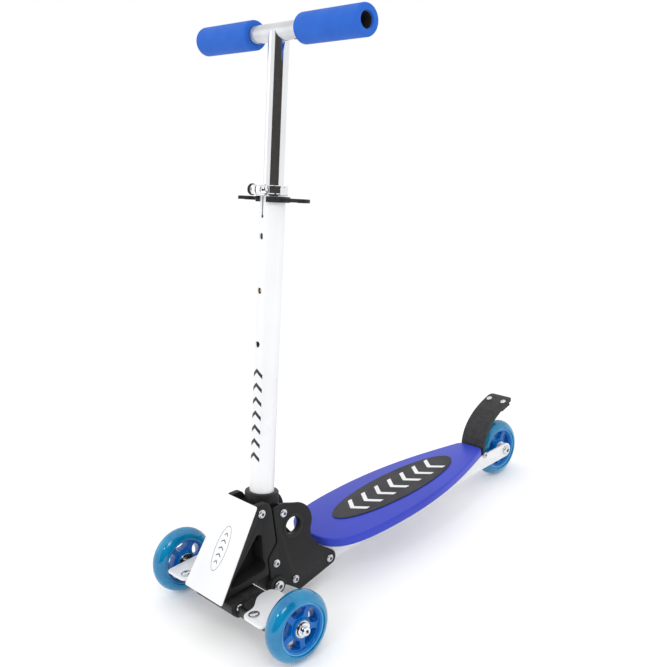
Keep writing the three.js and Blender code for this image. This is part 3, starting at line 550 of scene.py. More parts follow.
plateOut = 32  # outside of the side plates and of the casting
armOut = 22.5  # outside of the fork arms
leanBack = radians(11.9)
foldPin = (57.8 + foldBehind * cos(leanBack), 138 - foldBehind * sin(leanBack))
for name, place, radius, head, grip in (
        ("pivot_bolt", pivotBolt, 4, 7.5, plateOut + 2.5), ("upper_plate_bolt", upperBolt, 3, 5.6, plateOut),
        ("front_frame_bolt", frontFrameBolt, 3, 5.6, plateOut), ("rear_frame_bolt", rearFrameBolt, 3, 5.6, plateOut),
        ("head_bolt", headBolt, 3, 5.8, plateOut), ("rear_axle_bolt", rearAxle, 4, 7.5, armOut),
        ("stem_fold_pin", foldPin, 3, 5.6, plateOut), ("brake_pin", brakePin, 2.5, 4.6, armOut)):
    addThroughBolt(name, "deck", place, radius, head, grip)
addThroughBolt("truck_cross_bolt", "truck", crossBolt, 3, 5, 39)
print("bolts ready")


# Deck, pad and underframe.
def bezier(a, b, c, d, steps=18):
    return [tuple((1 - t) ** 3 * a[n] + 3 * (1 - t) ** 2 * t * b[n] + 3 * (1 - t) * t * t * c[n] + t ** 3 * d[n]
        for n in (0, 1)) for t in (i / steps for i in range(steps))]


def quadratic(a, b, c, steps=8):
    return [tuple((1 - t) ** 2 * a[n] + 2 * t * (1 - t) * b[n] + t * t * c[n] for n in (0, 1))
        for t in (i / steps for i in range(steps))]


deckLooks = {"top": 70, "thick": 13, "front": 128, "rear": 476, "half": 68, "widest": 250,
    "flat": 26, "edge": 3.2, "rim": 9, "ribHalf": 1.2, "ribFirst": 165, "ribLast": 440, "ribStep": 34}


def deckOutline(inset=0):
    d = SimpleNamespace(**deckLooks)
    f, r, w, h, q = d.front, d.rear, d.widest, d.half, d.flat
    right = bezier((q, f + 2), (h * 0.82, f + 9), (h, (f + w) / 2 - 25), (h, w))
    right += bezier((h, w), (h, r - 131), (q + 17, r - 61), (q, r - 10), 26)
    right += quadratic((q, r - 10), (q - 3, r), (q - 11, r)) + [(q - 11, r)]
    front = quadratic((-q, f + 2), (0, f - 2), (q, f + 2), 8)
    points = front + right + [(-x, y) for x, y in reversed(right)][:-1]
    middle = (f + r) / 2
    return [(x * (1 - inset / h), middle + (y - middle) * (1 - inset / (r - f) * 2)) for x, y in points]


def addDeck():
    d = SimpleNamespace(**deckLooks)
    low = d.top - d.thick
    board = addPiece("deck_board_fine", slab(deckOutline(), low, d.top, "Z"), deckBlue, axleShift)
    # The board is a shell with a rim and ribs, so its pockets leave out the ribs.
    pockets = addPiece("pockets", slab(deckOutline(d.rim), low - 1, low + 5, "Z"), deckBlue)
    cut(pockets, box((-28.5, 100, low - 3), (28.5, 500, low + 9)),
        *[box((-80, y - d.ribHalf, low - 3), (80, y + d.ribHalf, low + 9))
        for y in range(d.ribFirst, d.ribLast, d.ribStep)])
    roundEdges(board, d.edge, 5, 60, 40)
    cut(board, *fromAxle(joined(pockets)))
    softenShading(board, 40)
    settle(board, "deck")


padLooks = {"halfWide": 37, "halfLong": 121, "centre": 299, "low": 70.3, "high": 71.7, "chevrons": 7,
    "spacing": 27, "chevronHalf": 20}


def addPad():
    p = SimpleNamespace(**padLooks)
    outline = ellipse(p.halfWide, p.halfLong, p.centre, 96)
    pad = addPiece("grip_pad_fine", slab(outline, p.low, p.high, "Z"), gritPad, axleShift)
    roundEdges(pad, 0.6, 2, 60, 40)
    settle(pad, "deck")
    marks = []
    for i in range(p.chevrons):  # a row of plain printed arrowheads, all pointing forward
        y = p.centre + (i - (p.chevrons - 1) / 2) * p.spacing
        reach = p.halfWide * sqrt(max(0, 1 - ((y - p.centre) / p.halfLong) ** 2))
        half = min(p.chevronHalf, reach - 8)
        arrow = [(0, y - 9), (half, y + 4), (half, y + 11.5), (0, y - 1.5), (-half, y + 11.5), (-half, y + 4)]
        marks.append(slab(fillet(arrow, 1.2, 2), p.high - 0.1, p.high + 0.12, "Z"))
    settle(addPiece("pad_marks", joined(*marks), markWhite, axleShift), "deck")


frameLooks = {"top": 56.7, "deep": 25, "shallow": 9, "half": 27, "wall": 3, "armRootY": 395, "armRadius": 11,
    "armInside": 19.5}


def addFrame():
    f = SimpleNamespace(**frameLooks)
    top, low, shallow = f.top, f.top - f.deep, f.top - f.shallow
    side = [(64, top - 14), (68, low + 3), (76, low), (200, low), (222, low + 2.4), (244, shallow - 2.4),
        (262, shallow), (445, shallow), (445, top), (64, top)]
    frameBody = addPiece("deck_frame_fine", slab(side, -f.half, f.half), whitePaint, axleShift)
    armRoot = (f.armRootY, top - 11)
    slope = degrees(atan2(axleHeight - armRoot[1], wheelbase - armRoot[0]))
    ends = arc(*rearAxle, f.armRadius, slope - 90, slope + 90, 16)
    ends += arc(*armRoot, f.armRadius, slope + 90, slope + 270, 16)
    cut(frameBody, *fromAxle(box((f.wall - f.half, -10, -10), (f.half - f.wall, 446, top - f.wall))))
    weld(frameBody, *fromAxle(*[slab(ends, *span(sign, f.armInside, armOut)) for name, sign in sides]))
    cut(frameBody, *fromAxle(crossRod(pinHole, frontFrameBolt), crossRod(pinHole, rearFrameBolt),
        crossRod(axleHole, rearAxle), crossRod(2.8, brakePin)))
    roundEdges(frameBody, 0.7, 2, 50, 40)
    settle(frameBody, "deck")
    spacer = [(4.3, 11.8), (6.8, 11.8), (7, 12.1), (7, 18.9), (6.8, 19.2), (4.3, 19.2)]
    for name, sign in sides:
        ring = spin(flipped(spacer, sign), "X", 48, at(0, *rearAxle))
        settle(addPiece("rear_spacer_fine_" + name, ring, zincSteel), "deck")


addDeck()
addPad()
addFrame()
print("deck ready")


# Folding head: side plates with a finger ring, casting and sloping cover.
def addSidePlates():
    ringY, ringZ, ringRadius, toeRadius = 85, 112, 29, 11.5
    ring = [(ringY + ringRadius * cos(a), ringZ + ringRadius * sin(a))
        for a in (1.35 - 1.9 * i / 26 for i in range(27))]
    toe = [(rearFrameBolt[0] + toeRadius * cos(a), rearFrameBolt[1] + toeRadius * sin(a))
        for a in (1.2 - 2.2 * i / 14 for i in range(15))]
    heel = quadratic((86, 19), (79, 17), (75, 22), 8) + [(75, 22)]
    front = fillet([(75, 22.2), (62, 33), (36, 52), (36, 84), (54, 100), (54, 143)], 5, 4)[6:-6]
    corner = quadratic((54, 143), (54, 148), (59, 148), 6)
    back = [(109, 83), (112.5, 77.5), (120, 66), (122, 64)]
    outline = [(59, 148), (72, 148)] + ring + back + [(139, 50.5)] + toe + heel + front + corner
    boss = [(4.3, 27.3), (12.5, 27.3), (12.5, 33.3), (11.7, 34.3), (8.6, 34.5), (8.4, 34.1), (4.3, 34.1)]
    lip = [(12, 23.8), (15.6, 23.8), (17, 25), (17, 32.1), (15.9, 33), (13.3, 33), (12, 31.8)]
    finger = (82, ringZ)
    for name, sign in sides:
        plate = addPiece("side_plate_fine_" + name, slab(outline, *span(sign, 27.3, plateOut)), blackPlastic, axleShift)
        roundEdges(plate, 1.1, 3, 60, 40)
        cut(plate, *fromAxle(crossRod(12.6, finger, 72)))
        weld(plate, spin(flipped(lip, sign), "X", 72, at(0, *finger)),
            spin(flipped(boss, sign), "X", 64, at(0, *pivotBolt)))
        cut(plate, *fromAxle(crossRod(axleHole, pivotBolt), *[
            crossRod(pinHole, place) for place in (upperBolt, frontFrameBolt, rearFrameBolt, foldPin)]))
        softenShading(plate, 38)
        settle(plate, "deck")


coverTop, coverBottom = (29, 162), (-48.5, 61)
coverSlope = (coverTop[0] - coverBottom[0]) / (coverTop[1] - coverBottom[1])


def coverAt(z, offset=0):  # a point on the cover's slope, moved back by an offset
    return coverBottom[0] + (z - coverBottom[1]) * coverSlope + offset


def addCasting():
    floor = 62
    cheeks = [(coverAt(floor, 2.1), floor), (33, floor), (34.7, 66), (34.7, 85), (52, 101), (52, 150),
        (47, 160), (coverAt(161, 2.1), 161)]
    tongue = [(20, floor), (33, 34), (40, 30), (52, 30), (60, 38), (60, 112), (20, 112)]
    recess = [(24, 124.5), (31, 121), (29.5, 104), (28, 88), (31, 78), (27, 72.5), (5, 71.5), (-17, 70.5),
        (-26, 71.5), (-23.5, 78)]
    slot = [(20, 110), (70, 110), (70, 175), (20, 175)]
    strip = [(coverAt(64, 2.3), 64), (coverAt(64, 9.4), 64), (coverAt(158, 9.4), 158), (coverAt(158, 2.3), 158)]
    casting = addPiece("head_casting_fine", slab(fillet(cheeks, 4, 4), -plateOut, plateOut), blackPlastic, axleShift)
    roundEdges(casting, 1.6, 3, 60, 40)
    weld(casting, *fromAxle(slab(fillet(tongue, 4, 4), -27, 27)))
    cut(casting, *fromAxle(slab(fillet(slot, 3, 4), -22.6, 22.6), *[
        slab(fillet(recess, 5, 5), *span(sign, 9, through)) for name, sign in sides]))
    cut(casting, *movedBy(axleShift @ kingpinMatrix, rod(5.3, -10, 30.3, "Z")), *fromAxle(
        crossRod(axleHole, pivotBolt), crossRod(pinHole, upperBolt), crossRod(pinHole, headBolt)))
    weld(casting, *fromAxle(*[slab(fillet(strip, 2, 3), *span(sign, 31, 33.3))
        for name, sign in sides]))  # a bevelled strip beside the cover
    roundEdges(casting, 0.8, 2, 62, 38)
    settle(casting, "deck")


# The cover's own frame: X across, Y up the slope, Z out towards the front.
coverAlong = Vector((0, coverTop[0] - coverBottom[0], coverTop[1] - coverBottom[1])).normalized()
coverOut = xAxis.cross(coverAlong)
coverLength = dist(coverTop, coverBottom)
coverMatrix = Matrix((xAxis, coverAlong, coverOut)).transposed().to_4x4()
coverMatrix.translation = at(0, *coverBottom) + coverOut * 0.41 * mm
coverLooks = {"halfTop": 33.5, "halfBottom": 40, "back": -2.0, "face": 0.0, "corner": 3.0,
    "ovalWide": 11.2, "ovalLong": 29.5, "ovalAt": 62, "line": 0.55}


def addCover():
    c = SimpleNamespace(**coverLooks)
    face = [(-c.halfBottom, 0.6), (c.halfBottom, 0.6), (c.halfTop, coverLength - 0.4),
        (-c.halfTop, coverLength - 0.4)]
    sheet = addPiece("front_cover_fine", slab(fillet(face, c.corner, 5), c.back, c.face, "Z"),
        whitePaint, coverMatrix)
    roundEdges(sheet, 0.55, 3, 60, 40)
    settle(sheet, "deck")
    marks = bmesh.new()  # a thin oval line with plain strokes inside it
    high, low = 0.09, -0.2

    def band(outer, inner):
        n = len(outer)
        top = [[marks.verts.new(Vector((u, v, level)) * mm) for u, v in ring]
            for ring, level in ((outer, high), (inner, high), (outer, low), (inner, low))]
        for i in range(n):
            j = (i + 1) % n
            marks.faces.new((top[0][i], top[0][j], top[1][j], top[1][i]))
            marks.faces.new((top[2][j], top[2][i], top[3][i], top[3][j]))
            marks.faces.new((top[0][j], top[0][i], top[2][i], top[2][j]))
            marks.faces.new((top[1][i], top[1][j], top[3][j], top[3][i]))

    band(*[ellipse(c.ovalWide - inset, c.ovalLong - inset, c.ovalAt, 72) for inset in (0, c.line)])
    solids = [marks]
    for k in range(5):
        v = c.ovalAt - 18 + 9 * k
        half = 4.6 if k in (1, 2, 3) else 3.2
        stroke = [(-half, v - 2.0), (0, v + 1.2), (half, v - 2.0), (half, v - 0.4), (0, v + 2.8), (-half, v - 0.4)]
        solids.append(slab(stroke, low, high, "Z"))
    settle(addPiece("cover_marks", joined(*solids), markBlack, coverMatrix), "deck")


addSidePlates()
addCasting()
addCover()
print("head ready")


# Steering truck.
truckLooks = {"beam": 106, "axleFrom": 66, "axleTo": 116, "plateLow": 49.3, "plateHigh": 52.3,
    "near": 43.5, "far": 104, "front": -37, "back": 28, "ear": 12}


def addTruck():
    t = SimpleNamespace(**truckLooks)
    inKing = axleShift @ kingpinMatrix
    centre = [(-34, 41), (-26, 33), (16, 33), (20, 37), (20, 48), (14, 54), (-30, 54), (-34, 50)]
    truck = addPiece("truck_body_fine", slab(fillet(centre, 3, 3), -39, 39), blackPlastic, axleShift)
    beam = [(-27, 37), (15, 37), (15, 49), (-27, 49)]
    weld(truck, *fromAxle(slab(fillet(beam, 2, 3), -t.beam, t.beam)))
    pockets = []
    for name, sign in sides:  # cored-out pockets between ribs under the beam
        for near in (46, 62, 84):
            low, high = span(sign, near, near + 12)
            pockets.append(box((low, 7, 36), (high, 12, 45.5)))
    cut(truck, *fromAxle(*pockets))
    seats = movedBy(inKing, rod(5.3, -40, 40, "Z"), rod(13, 3, 40, "Z", steps=48), rod(10, -40, -9, "Z"))
    holes = [crossRod(pinHole, crossBolt)]
    for name, sign in sides:
        holes.append(rod(axleHole, *span(sign, t.axleFrom, t.axleTo), "X", (0, axleHeight)))
        holes.append(rod(pinHole, 0, 90, "Z", (sign * bracketBolt[0], bracketBolt[1])))
        holes.append(rod(6, *span(sign, 39, 44), "X", crossBolt))
    cut(truck, *seats, *fromAxle(*holes))
    roundEdges(truck, 0.9)
    settle(truck, "truck")

    king = [(0, -15), (7.6, -15), (8.3, -14.4), (8.5, -10.4), (5, -10), (5, 29.6), (4.6, 30), (0, 30)]
    settle(addPiece("kingpin_fine", spin(king, "Z", 40), zincSteel, inKing), "deck", "kingpin_bolt")
    bush = [(5.3, 3.3), (11.6, 3.3), (12, 3.8), (12, 4.8), (8.4, 7.3), (7.8, 7.6), (5.3, 7.6)]
    settle(addPiece("steering_bush_fine", spin(bush, "Z", 48), rubberBlack, inKing), "deck")

    boltX, boltY = bracketBolt
    near, far, front, back, corner = t.near, t.far, t.front, t.back, boltX - t.ear
    outline = [(boltX, front)] + quadratic((far - 6, front), (far, front), (far, front + 8)) + quadratic(
        (far, back - 12), (far, back), (far - 12, back), 10) + quadratic(
        (near + 16, back), (near, back), (near, back - 14), 10) + bezier(
        (near, back - 14), (near, boltY + 17), (corner, boltY + 19), (corner, boltY), 16) + quadratic(
        (corner, boltY), (corner, front), (boltX, front), 10)
    head = [(0, 37), (3, 37), (3, 52.6), (6.9, 52.6), (6.9, 53.3), (5.4, 53.5), (5.4, 53.9)]
    head += dome(5.2, 53.9, 1.8, 12, 1, 8) + [(0, 55.7)]
    end = [(0, 68), (4, 68), (4, 136.5), (8.3, 136.5), (8.5, 136.7), (8.5, 137.9), (8.2, 138.1),
        (5.9, 138.1), (5.6, 138.4), (5.6, 142.2), (5.0, 143.0), (3.4, 143.4), (0, 143.5)]
    for name, sign in sides:
        plate = addPiece("axle_bracket_fine_" + name, slab([(sign * x, y) for x, y in outline], t.plateLow,
            t.plateHigh, "Z"), whitePaint, axleShift)
        cut(plate, *fromAxle(rod(pinHole, 0, 90, "Z", (sign * boltX, boltY))))
        roundEdges(plate, 0.7, 3, 60, 40)
        settle(plate, "truck")
        bolt = addPiece("bracket_bolt_fine_" + name, spin(head, "Z", 40), zincSteel, sharp=50)
        cut(bolt, slab(hexagonAt(2.5, 0, 0), 54.4, 57, "Z"))
        bolt.data.transform(axleShift @ Matrix.Translation((sign * boltX * mm, boltY * mm, 0)))
        softenShading(bolt, 40)
        settle(bolt, "truck")
        axleBolt = addPiece("front_axle_bolt_fine_" + name,
            spin(flipped(end, sign), "X", 48, at(0, 0, axleHeight)), chrome)
        cut(axleBolt, *fromAxle(slab(hexagonAt(2.9, 0, axleHeight), *span(sign, 140.6, 146))))
        softenShading(axleBolt, 35)
        settle(axleBolt, "truck")


addTruck()
print("truck ready")


# Stem: socket, lower tube, clamp and clip holder, in the stem's own frame.
def tubeProfile(outer, inner, low, high, lip=0.25):
    return [(inner, low), (outer - lip, low), (outer, low + lip), (outer, high - lip), (outer - lip, high),
        (inner, high)]


def stemPiece(name, bm, material, body):
    return settle(addPiece(name, bm, material, stemMatrix, 38), body)


def arrowRound(tip, half, drop, thick, radius, facing, steps=14):  # an arrowhead laid round a tube
    bm = bmesh.new()
    rings = []
    for i in range(2 * steps + 1):
        u = half * (i / steps - 1)
        top = tip - drop * abs(u) / half
        turn = radians(facing) + u / radius
        rings.append([bm.verts.new(Vector((r * cos(turn), r * sin(turn), v)) * mm)
            for r, v in ((radius + 0.06, top), (radius + 0.06, top - thick),
            (radius - 0.15, top - thick), (radius - 0.15, top))])
    for a, b in zip(rings, rings[1:]):
        for k in range(4):
            bm.faces.new((a[k], b[k], b[(k + 1) % 4], a[(k + 1) % 4]))
    bm.faces.new(rings[0])
    bm.faces.new(list(reversed(rings[-1])))
    return bm


stemLooks = {"outer": 16, "inner": 14.5, "top": 401, "hole": 4, "middleHole": 284, "holeStep": 67.5,
    "slitFrom": 376, "slitHalf": 1.5, "slitEnd": 2.4, "lug": 9.5}


def addStem():
    s = SimpleNamespace(**stemLooks)
    socketBody = addPiece("stem_socket_fine", spin(
        [(0, 6), (20.8, 6), (22, 7.2), (22, 22.8), (21.4, 23.7), (20.6, 24), (0, 24)], "Z", 72), blackPlastic)
    slope = degrees(atan2(4, -4 - foldBehind))
    lug = arc(-4, 4, s.lug, slope - 90, slope + 90, 14) + arc(foldBehind, 0, s.lug, slope + 90, slope + 270, 14)
    weld(socketBody, slab(lug, -22, 22), slab(fillet([(-19, -9), (8, -9), (8, 10), (-19, 10)], 3, 4), -22, 22))
    boltBack, boltUp = headBolt[0] - 57.8, headBolt[1] - 138
    notchY = boltBack * cos(leanBack) - boltUp * sin(leanBack)
    notchZ = boltBack * sin(leanBack) + boltUp * cos(leanBack)
    cut(socketBody, rod(16.3, 10, 25, "Z", steps=72), crossRod(pinHole, (foldBehind, 0)),
        crossRod(5, (notchY, notchZ)), box((-60, notchY - 20, notchZ - 5), (60, notchY, notchZ + 5)))
    placeRounded(socketBody, stemMatrix, 0.9)
    settle(socketBody, "stem")

    tube = addPiece("lower_tube_fine", spin(tubeProfile(s.outer, s.inner, 10.3, s.top), "Z", 96), whitePaint)
    cut(tube, *[rod(s.hole, -30, 0, "Y", (0, s.middleHole + step * s.holeStep), 40) for step in (-1, 0, 1)],
        rod(s.slitEnd, -30, 0, "Y", (0, s.slitFrom), 32),
        box((-s.slitHalf, -30, s.slitFrom), (s.slitHalf, 0, s.top + 1)))
    tube.data.transform(stemMatrix)
    softenShading(tube, 38)
    settle(tube, "stem")


clampLooks = {"low": 402, "high": 414, "outer": 19, "inner": 13.6, "edge": 18.4, "waist": 18.3,
    "skewerY": -22.5, "skewerZ": 408}


def addClamp():
    c = SimpleNamespace(**clampLooks)
    y, z, low, high = c.skewerY, c.skewerZ, c.low, c.high
    profile = [(c.inner, low), (c.edge, low), (c.outer, low + 0.6), (c.outer, 403.6), (c.waist, 404.4),
        (c.waist, 411.6), (c.outer, 412.4), (c.outer, high - 0.6), (c.edge, high), (c.inner, high)]
    collar = addPiece("clamp_collar_fine", spin(profile, "Z", 80), chrome)
    weld(collar, slab(fillet([(y - 5, low), (-14.5, low), (-14.5, high), (y - 5, high)], 3.4, 5), -9, 9))
    cut(collar, rod(c.inner, low - 1, high + 1, "Z", steps=80), box((-1.2, -40, low - 1), (1.2, 0, high + 1)),
        rod(2.8, -30, 30, "X", (y, z)))
    placeRounded(collar, stemMatrix, 0.35)
    settle(collar, "stem")

    centre = Vector((0, y, z)) * mm
    skewer = [(0, -19), (2.2, -19), (2.5, -18.6), (2.5, 9.3), (6.2, 9.3), (6.2, 10.0), (5.4, 10.2), (5.4, 11.6)]
    skewer += dome(5.0, 11.6, 2.9, 15, 1, 6) + [(0, 14.5)]
    stemPiece("clamp_skewer_fine", spin(skewer, "X", 32, centre), chrome, "stem")

    cam = [(2.8, -16.5), (5.2, -16.5), (5.6, -16.1), (5.6, -13.9), (4.9, -13.6), (4.9, -12.8), (5.6, -12.5),
        (5.6, -9.7), (5.2, -9.3), (2.8, -9.3)]
    lever = addPiece("clamp_lever_fine", spin(cam, "X", 48, centre), chrome)
    blade = quadratic((y + 4.5, z + 2.6), (y + 30, z + 6.4), (y + 44, z + 2.4), 16)
    blade += quadratic((y + 44, z + 2.4), (y + 47.4, z - 0.6), (y + 43, z - 2.6), 8)
    blade += quadratic((y + 43, z - 2.6), (y + 28, z + 1.2), (y + 4.5, z - 2.6), 16) + [(y + 2.6, z)]
    neck = [(y + 2.6, z - 2.4), (y + 6.2, z - 2.4), (y + 6.2, z + 2.4), (y + 2.6, z + 2.4)]
    weld(lever, slab(blade, -25.3, -20.5), slab(fillet(neck, 1, 3), -24, -12))
    placeRounded(lever, stemMatrix, 0.6)
    settle(lever, "lever")
    washer = [(2.8, -13.9), (6.9, -13.9), (7.2, -13.6), (7.2, -12.6), (6.9, -12.3), (2.8, -12.3)]
    stemPiece("clamp_washer", spin(washer, "X", 48, centre), blackPlastic, "lever")


clipLooks = {"low": 393.5, "high": 400.5, "armLow": 394.75, "armHigh": 399.25, "ring": 16.3, "inner": 9.6,
    "outer": 12.0, "reach": 52, "mouth": 6.3, "opening": 10}


def addClipHolder():
    c = SimpleNamespace(**clipLooks)
    low, high, inner, outer, armLow, armHigh = c.low, c.high, c.inner, c.outer, c.armLow, c.armHigh
    holder = addPiece("clip_holder_fine", spin(
        [(c.ring, low), (21.0, low), (21.5, low + 0.5), (21.5, high - 0.5), (21.0, high), (c.ring, high)],
        "Z", 80), blackPlastic)
    hook = [(inner, armLow), (outer - 0.4, armLow), (outer, armLow + 0.4), (outer, armHigh - 0.4),
        (outer - 0.4, armHigh), (inner, armHigh)]
    arms, mouths = [], []
    for name, sign in sides:
        x = sign * c.reach
        near, far = span(sign, 18, 41.4)
        arms.append(box((near, -1.6, armLow), (far, 1.6, armHigh)))
        for level in (armLow, armHigh - 1.3):
            arms.append(box((near, -3, level), (far, 3, level + 1.3)))
        arms.append(spin(hook, "Z", 72, Vector((x, 0, 0)) * mm))
        mouths.append(box((x - c.mouth, -30, low - 1), (x + c.mouth, 0, high + 1)))
    weld(holder, *arms)
    cut(holder, *mouths, box((-c.opening, -40, low - 1), (c.opening, 0, high + 1)),
        rod(c.ring, low - 1, high + 1, "Z", steps=80))
    placeRounded(holder, stemMatrix, 0.45)
    settle(holder, "stem")


def addTubeMarks():  # plain arrowheads up the tube, in place of lettering
    arrows = [arrowRound(78 + 18 * i, 8.5, 7.5, 5.2, stemLooks["outer"], -86) for i in range(7)]
    stemPiece("tube_marks", joined(*arrows), markBlack, "stem")


addStem()
addClamp()
addClipHolder()
addTubeMarks()
print("stem ready")

# Handlebar: upper tube, cross tube, plug-in handles and foam grips.

barAt = 596
barCentre = Vector((0, 0, barAt)) * mm
barLooks = {"upper": 13, "upperInner": 11.5, "foot": 250, "bar": 11, "barInner": 9.5, "barHalf": 42, "catchAt": 34,
    "studHole": 3.2, "rise": 4.6}


def darkenBore(piece, centre, radius):  # painted shade on the tube's inside faces, round a line along X
    piece.data.materials.append(bareInside)
    for face in piece.data.polygons:
        away = face.center - centre
        if hypot(away.y, away.z) < radius and abs(face.normal.x) < 0.7 and face.normal.dot(away) < 0:
            face.material_index = 1


def placeTube(piece, body):
    piece.data.transform(stemMatrix)
    softenShading(piece, 38)
    settle(piece, body)


def studHole(x):  # where a spring catch comes through the underside of the bar
    return rod(barLooks["studHole"], barAt - 30, barAt, "Z", (x, 0), 36)


def addHandlebar():
    b = SimpleNamespace(**barLooks)
    middleHole = stemLooks["middleHole"]
    upper = addPiece("upper_tube_fine", spin(
        tubeProfile(b.upper, b.upperInner, b.foot, barAt - 0.3), "Z", 96), chrome)
    cut(upper, crossRod(11.3, (0, barAt), 72), rod(b.studHole, -30, 0, "Y", (0, middleHole), 36))
    placeTube(upper, "handlebar")
    stemPiece("guide_bush_fine", spin(tubeProfile(14.2, 13.3, b.foot, 272), "Z", 72), blackPlastic,
        "handlebar")

    bar = addPiece("cross_tube_fine", spin(
        tubeProfile(b.bar, b.barInner, -b.barHalf, b.barHalf, 0.3), "X", 72, barCentre), satinAlloy)
    cut(bar, studHole(b.catchAt), studHole(-b.catchAt))
    placeTube(bar, "handlebar")
    knob = [(0, 0), (4.4, 0), (4.4, 0.8), (2.9, 0.9), (2.9, b.rise - 1.6)]
    button = spin(knob + dome(2.9, b.rise - 1.6, 1.6, 15, 1, 6) + [(0, b.rise)], "Z", 40)
    movedBy(Matrix.Translation(Vector((0, b.rise - 14.2, middleHole)) * mm)
        @ Matrix.Rotation(radians(90), 4, "X"), button)
    stemPiece("height_button_fine", button, brassBright, "height_button")

    section = [(7.7, 12), (9.0, 12), (9.2, 12.3), (9.2, 42.3), (10.7, 42.3), (11, 42.6), (11, 147.7),
        (10.7, 148), (9.6, 148), (9.5, 147.8), (9.5, 62), (7.7, 60)]
    foam = [(11.3, 46.0), (15.1, 46.0)]
    foam += arc(15.2, 49.1, 3.1, -81, 0, 9) + arc(15.2, 148.9, 3.1, 0, 81, 9)
    foam += [(15.2, 152), (10.6, 152), (10.1, 151.8), (9.8, 151.2), (9.8, 148.3), (11.3, 148.3)]
    stud = [(0, 0), (3.6, 0), (3.6, 0.6), (2.7, 0.7), (2.7, 1.8)] + dome(2.7, 1.8, 1.6, 15, 1, 6) + [(0, 3.4)]
    for name, sign in sides:
        tube = addPiece("handle_tube_fine_" + name, spin(flipped(section, sign), "X", 72, barCentre), satinAlloy)
        cut(tube, studHole(sign * b.catchAt))
        darkenBore(tube, barCentre, 9.7 * mm)
        placeTube(tube, "handle_" + name)
        grip = stemPiece("foam_grip_fine_" + name, spin(flipped(foam, sign), "X", 96, barCentre), foamBlue,
            "handle_" + name)
        catch = spin(stud, "Z", 36)
        tip = Vector((sign * b.catchAt, 0, barAt - 9.35 + 3.4)) * mm
        movedBy(Matrix.Translation(tip) @ Matrix.Rotation(pi, 4, "X"), catch)
        stemPiece("handle_button_fine_" + name, catch, zincSteel, "catch_" + name)


addHandlebar()
print("handlebar ready")


# Rear brake.
brakeLooks = {"reach": 78, "height": 71, "half": 22.5, "hinge": 18, "corner": 8, "rivet": 14, "coils": 8}


def addBrake():
    b = SimpleNamespace(**brakeLooks)
    y, z = brakePin
    far, high, half, free = y + b.reach, z + b.height, b.half, b.half - b.corner
    outer = bezier((y - 4, z + 3), (y - 1, high - 39), (far - 58, high - 13), (far, high), 40) + [(far, high)]
    inner = bezier((far + 0.4, high - 2.5), (far - 55, high - 15), (y + 3, high - 41), (y - 0.5, z + 3), 40)
    flap = addPiece("brake_flap_fine", slab(outer + inner + [(y - 0.5, z + 3)], -half, half), blackPlastic)
    corners = []
    for name, sign in sides:  # rounds the two free corners, seen from above, and clears the fork arms
        ring = [(half + 1, far - 8.5), (half + 1, far + 3), (free, far + 3)]
        ring += [(free + b.corner * sin(a), far - 7.5 + b.corner * cos(a))
            for a in (radians(90 * i / 10) for i in range(11))]
        corners.append(slab([(sign * u, v) for u, v in ring], z + 40, z + 90, "Z"))
        low, top = span(sign, b.hinge, half + 1)
        corners.append(box((low, y - 20, z - 20), (top, y + 20, z + 6)))
    cut(flap, *corners)
    weld(flap, rod(5, -b.hinge, b.hinge, "X", brakePin, 48))
    onFlap = Matrix.Translation(Vector((0, far - 14, high - 5.4)) * mm) @ Matrix.Rotation(radians(14), 4, "X")

    def rivetHoles():
        return [rod(2.5, -20, 20, "Z", (x, 0)) for x in (b.rivet, -b.rivet)]

    cut(flap, crossRod(2.8, brakePin), box((-7, y - 6, z - 6), (7, y + 6, z + 8)), *movedBy(onFlap, *rivetHoles()))
    placeRounded(flap, axleShift, 0.6)
    settle(flap, "brake")

    pad = addPiece("brake_pad_fine", box((-18, -11, -9), (18, 9, -2.9)), rubberBlack)
    cut(pad, *rivetHoles(), *[box((-20, v - 0.8, -10), (20, v + 0.8, -7.8)) for v in (-6.5, -1, 4.5)])
    placeRounded(pad, axleShift @ onFlap, 0.7)
    settle(pad, "brake")
    head = [(0, -8), (2, -8), (2.2, -7.8), (2.2, 2.2), (4.6, 2.2), (4.6, 2.5)] + dome(4.6, 2.5, 1.8, 12, 1, 8)
    for name, sign in sides:
        rivet = spin(head + [(0, 4.3)], "Z", 40)
        movedBy(axleShift @ onFlap @ Matrix.Translation((sign * b.rivet * mm, 0, 0)), rivet)
        settle(addPiece("brake_rivet_fine_" + name, rivet, zincSteel), "brake")
    coil = [(2.8, -6)]
    for i in range(b.coils):  # the coils of the return spring, wound close
        start = -6 + 1.5 * i
        coil += [(4.0, start + 0.1), (4.4, start + 0.75), (4.0, start + 1.4)]
    spring = spin(coil + [(2.8, 6)], "X", 40, at(0, y, z))
    settle(addPiece("brake_spring_fine", spring, zincSteel), "deck")


addBrake()
print("brake ready")


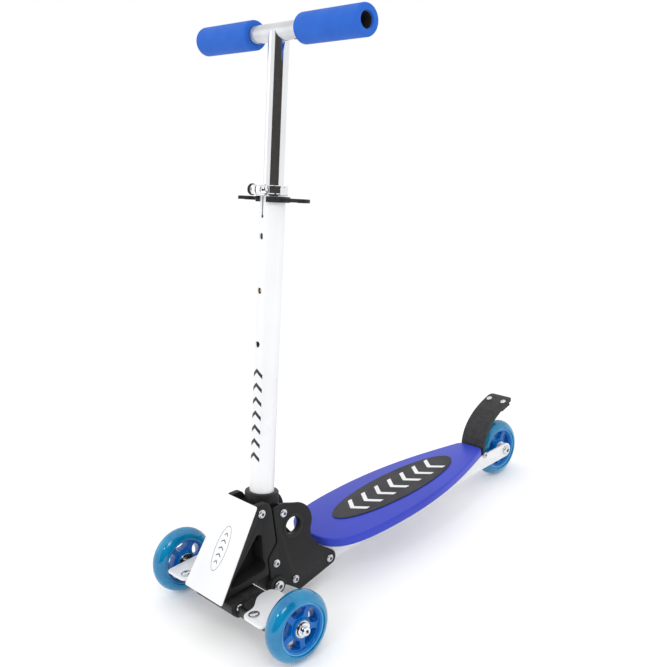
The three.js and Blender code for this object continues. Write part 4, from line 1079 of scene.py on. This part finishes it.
# Floor, light and camera.
def addStudio():
    bm = bmesh.new()
    bmesh.ops.create_grid(bm, x_segments=2, y_segments=2, size=60)
    floorMaterial, tree, shader, marks, edges = startMaterial("studioFloor", (2.0, 60.0, 4.0), 0.0)
    tone = blotchy(tree, marks, (0.92, 0.92, 0.92), (0.93, 0.93, 0.93))
    feed(tree, shader, {"Base Color": tone, "Emission Color": tone, "Emission Strength": 0.1, "Roughness": 0.75})
    floor = addPiece("studio_floor", bm, floorMaterial)
    floor.location.z = -0.0006  # just under the tyres

    world = bpy.data.worlds.new("studio")
    bpy.context.scene.world = world
    world.use_nodes = True
    feed(world.node_tree, world.node_tree.nodes["Background"], {"Color": (1.0, 1.0, 1.0, 1), "Strength": 1.0})

    card = bmesh.new()  # a dark card round the front, which only polished metal and gloss pick up
    turns = [radians(8 + 96 * i / 24) for i in range(25)]
    rows = [[card.verts.new((2.2 * sin(a), -2.2 * cos(a), z)) for a in turns] for z in (0.05, 3.2)]
    for i in range(24):
        card.faces.new((rows[0][i], rows[0][i + 1], rows[1][i + 1], rows[1][i]))
    darkCard = addPiece("dark_card", card, darkCloth)
    darkCard.visible_camera = darkCard.visible_diffuse = darkCard.visible_shadow = False
    darkCard.visible_transmission = False

    middle = Vector((0.05, 0, 0.35))
    for name, place, size, energy in (("key", (1.5, -1.0, 2.0), 0.7, 9), ("fill", (-1.9, -1.2, 1.1), 1.4, 2.5),
            ("top", (0.1, 0.4, 2.6), 1.6, 3), ("glint", (0.5, -1.7, 1.6), 0.14, 3)):
        lamp = bpy.data.lights.new(name, "AREA")
        lamp.energy, lamp.size = energy, size
        holder = addObject(name, lamp)
        holder.location = place
        holder.rotation_euler = (Vector(place) - middle).to_track_quat("Z", "Y").to_euler()


cameraLooks = {"azimuth": 49.5, "elevation": 16.8, "roll": -6.3, "lens": 50.05, "distance": 1.1196,
    "aim": (91.8, 135, 368.0)}


def addCamera():
    c = SimpleNamespace(**cameraLooks)
    azimuth, elevation, roll = radians(c.azimuth), radians(c.elevation), radians(c.roll)
    back = Vector((sin(azimuth) * cos(elevation), -cos(azimuth) * cos(elevation), sin(elevation)))
    right = Vector((cos(azimuth), sin(azimuth), 0))
    up = back.cross(right)
    turnedRight = right * cos(roll) + up * sin(roll)
    turnedUp = -right * sin(roll) + up * cos(roll)
    lens = bpy.data.cameras.new("camera")
    lens.lens, lens.sensor_width, lens.sensor_fit = c.lens, 36, "HORIZONTAL"
    lens.clip_start, lens.clip_end = 0.05, 50
    camera = addObject("camera", lens)
    placed = Matrix((turnedRight, turnedUp, back)).transposed().to_4x4()
    placed.translation = at(*c.aim) + back * c.distance
    camera.matrix_world = placed
    bpy.context.scene.camera = camera


addStudio()
addCamera()
bpy.context.scene.view_settings.view_transform = "Standard"
print("studio ready")
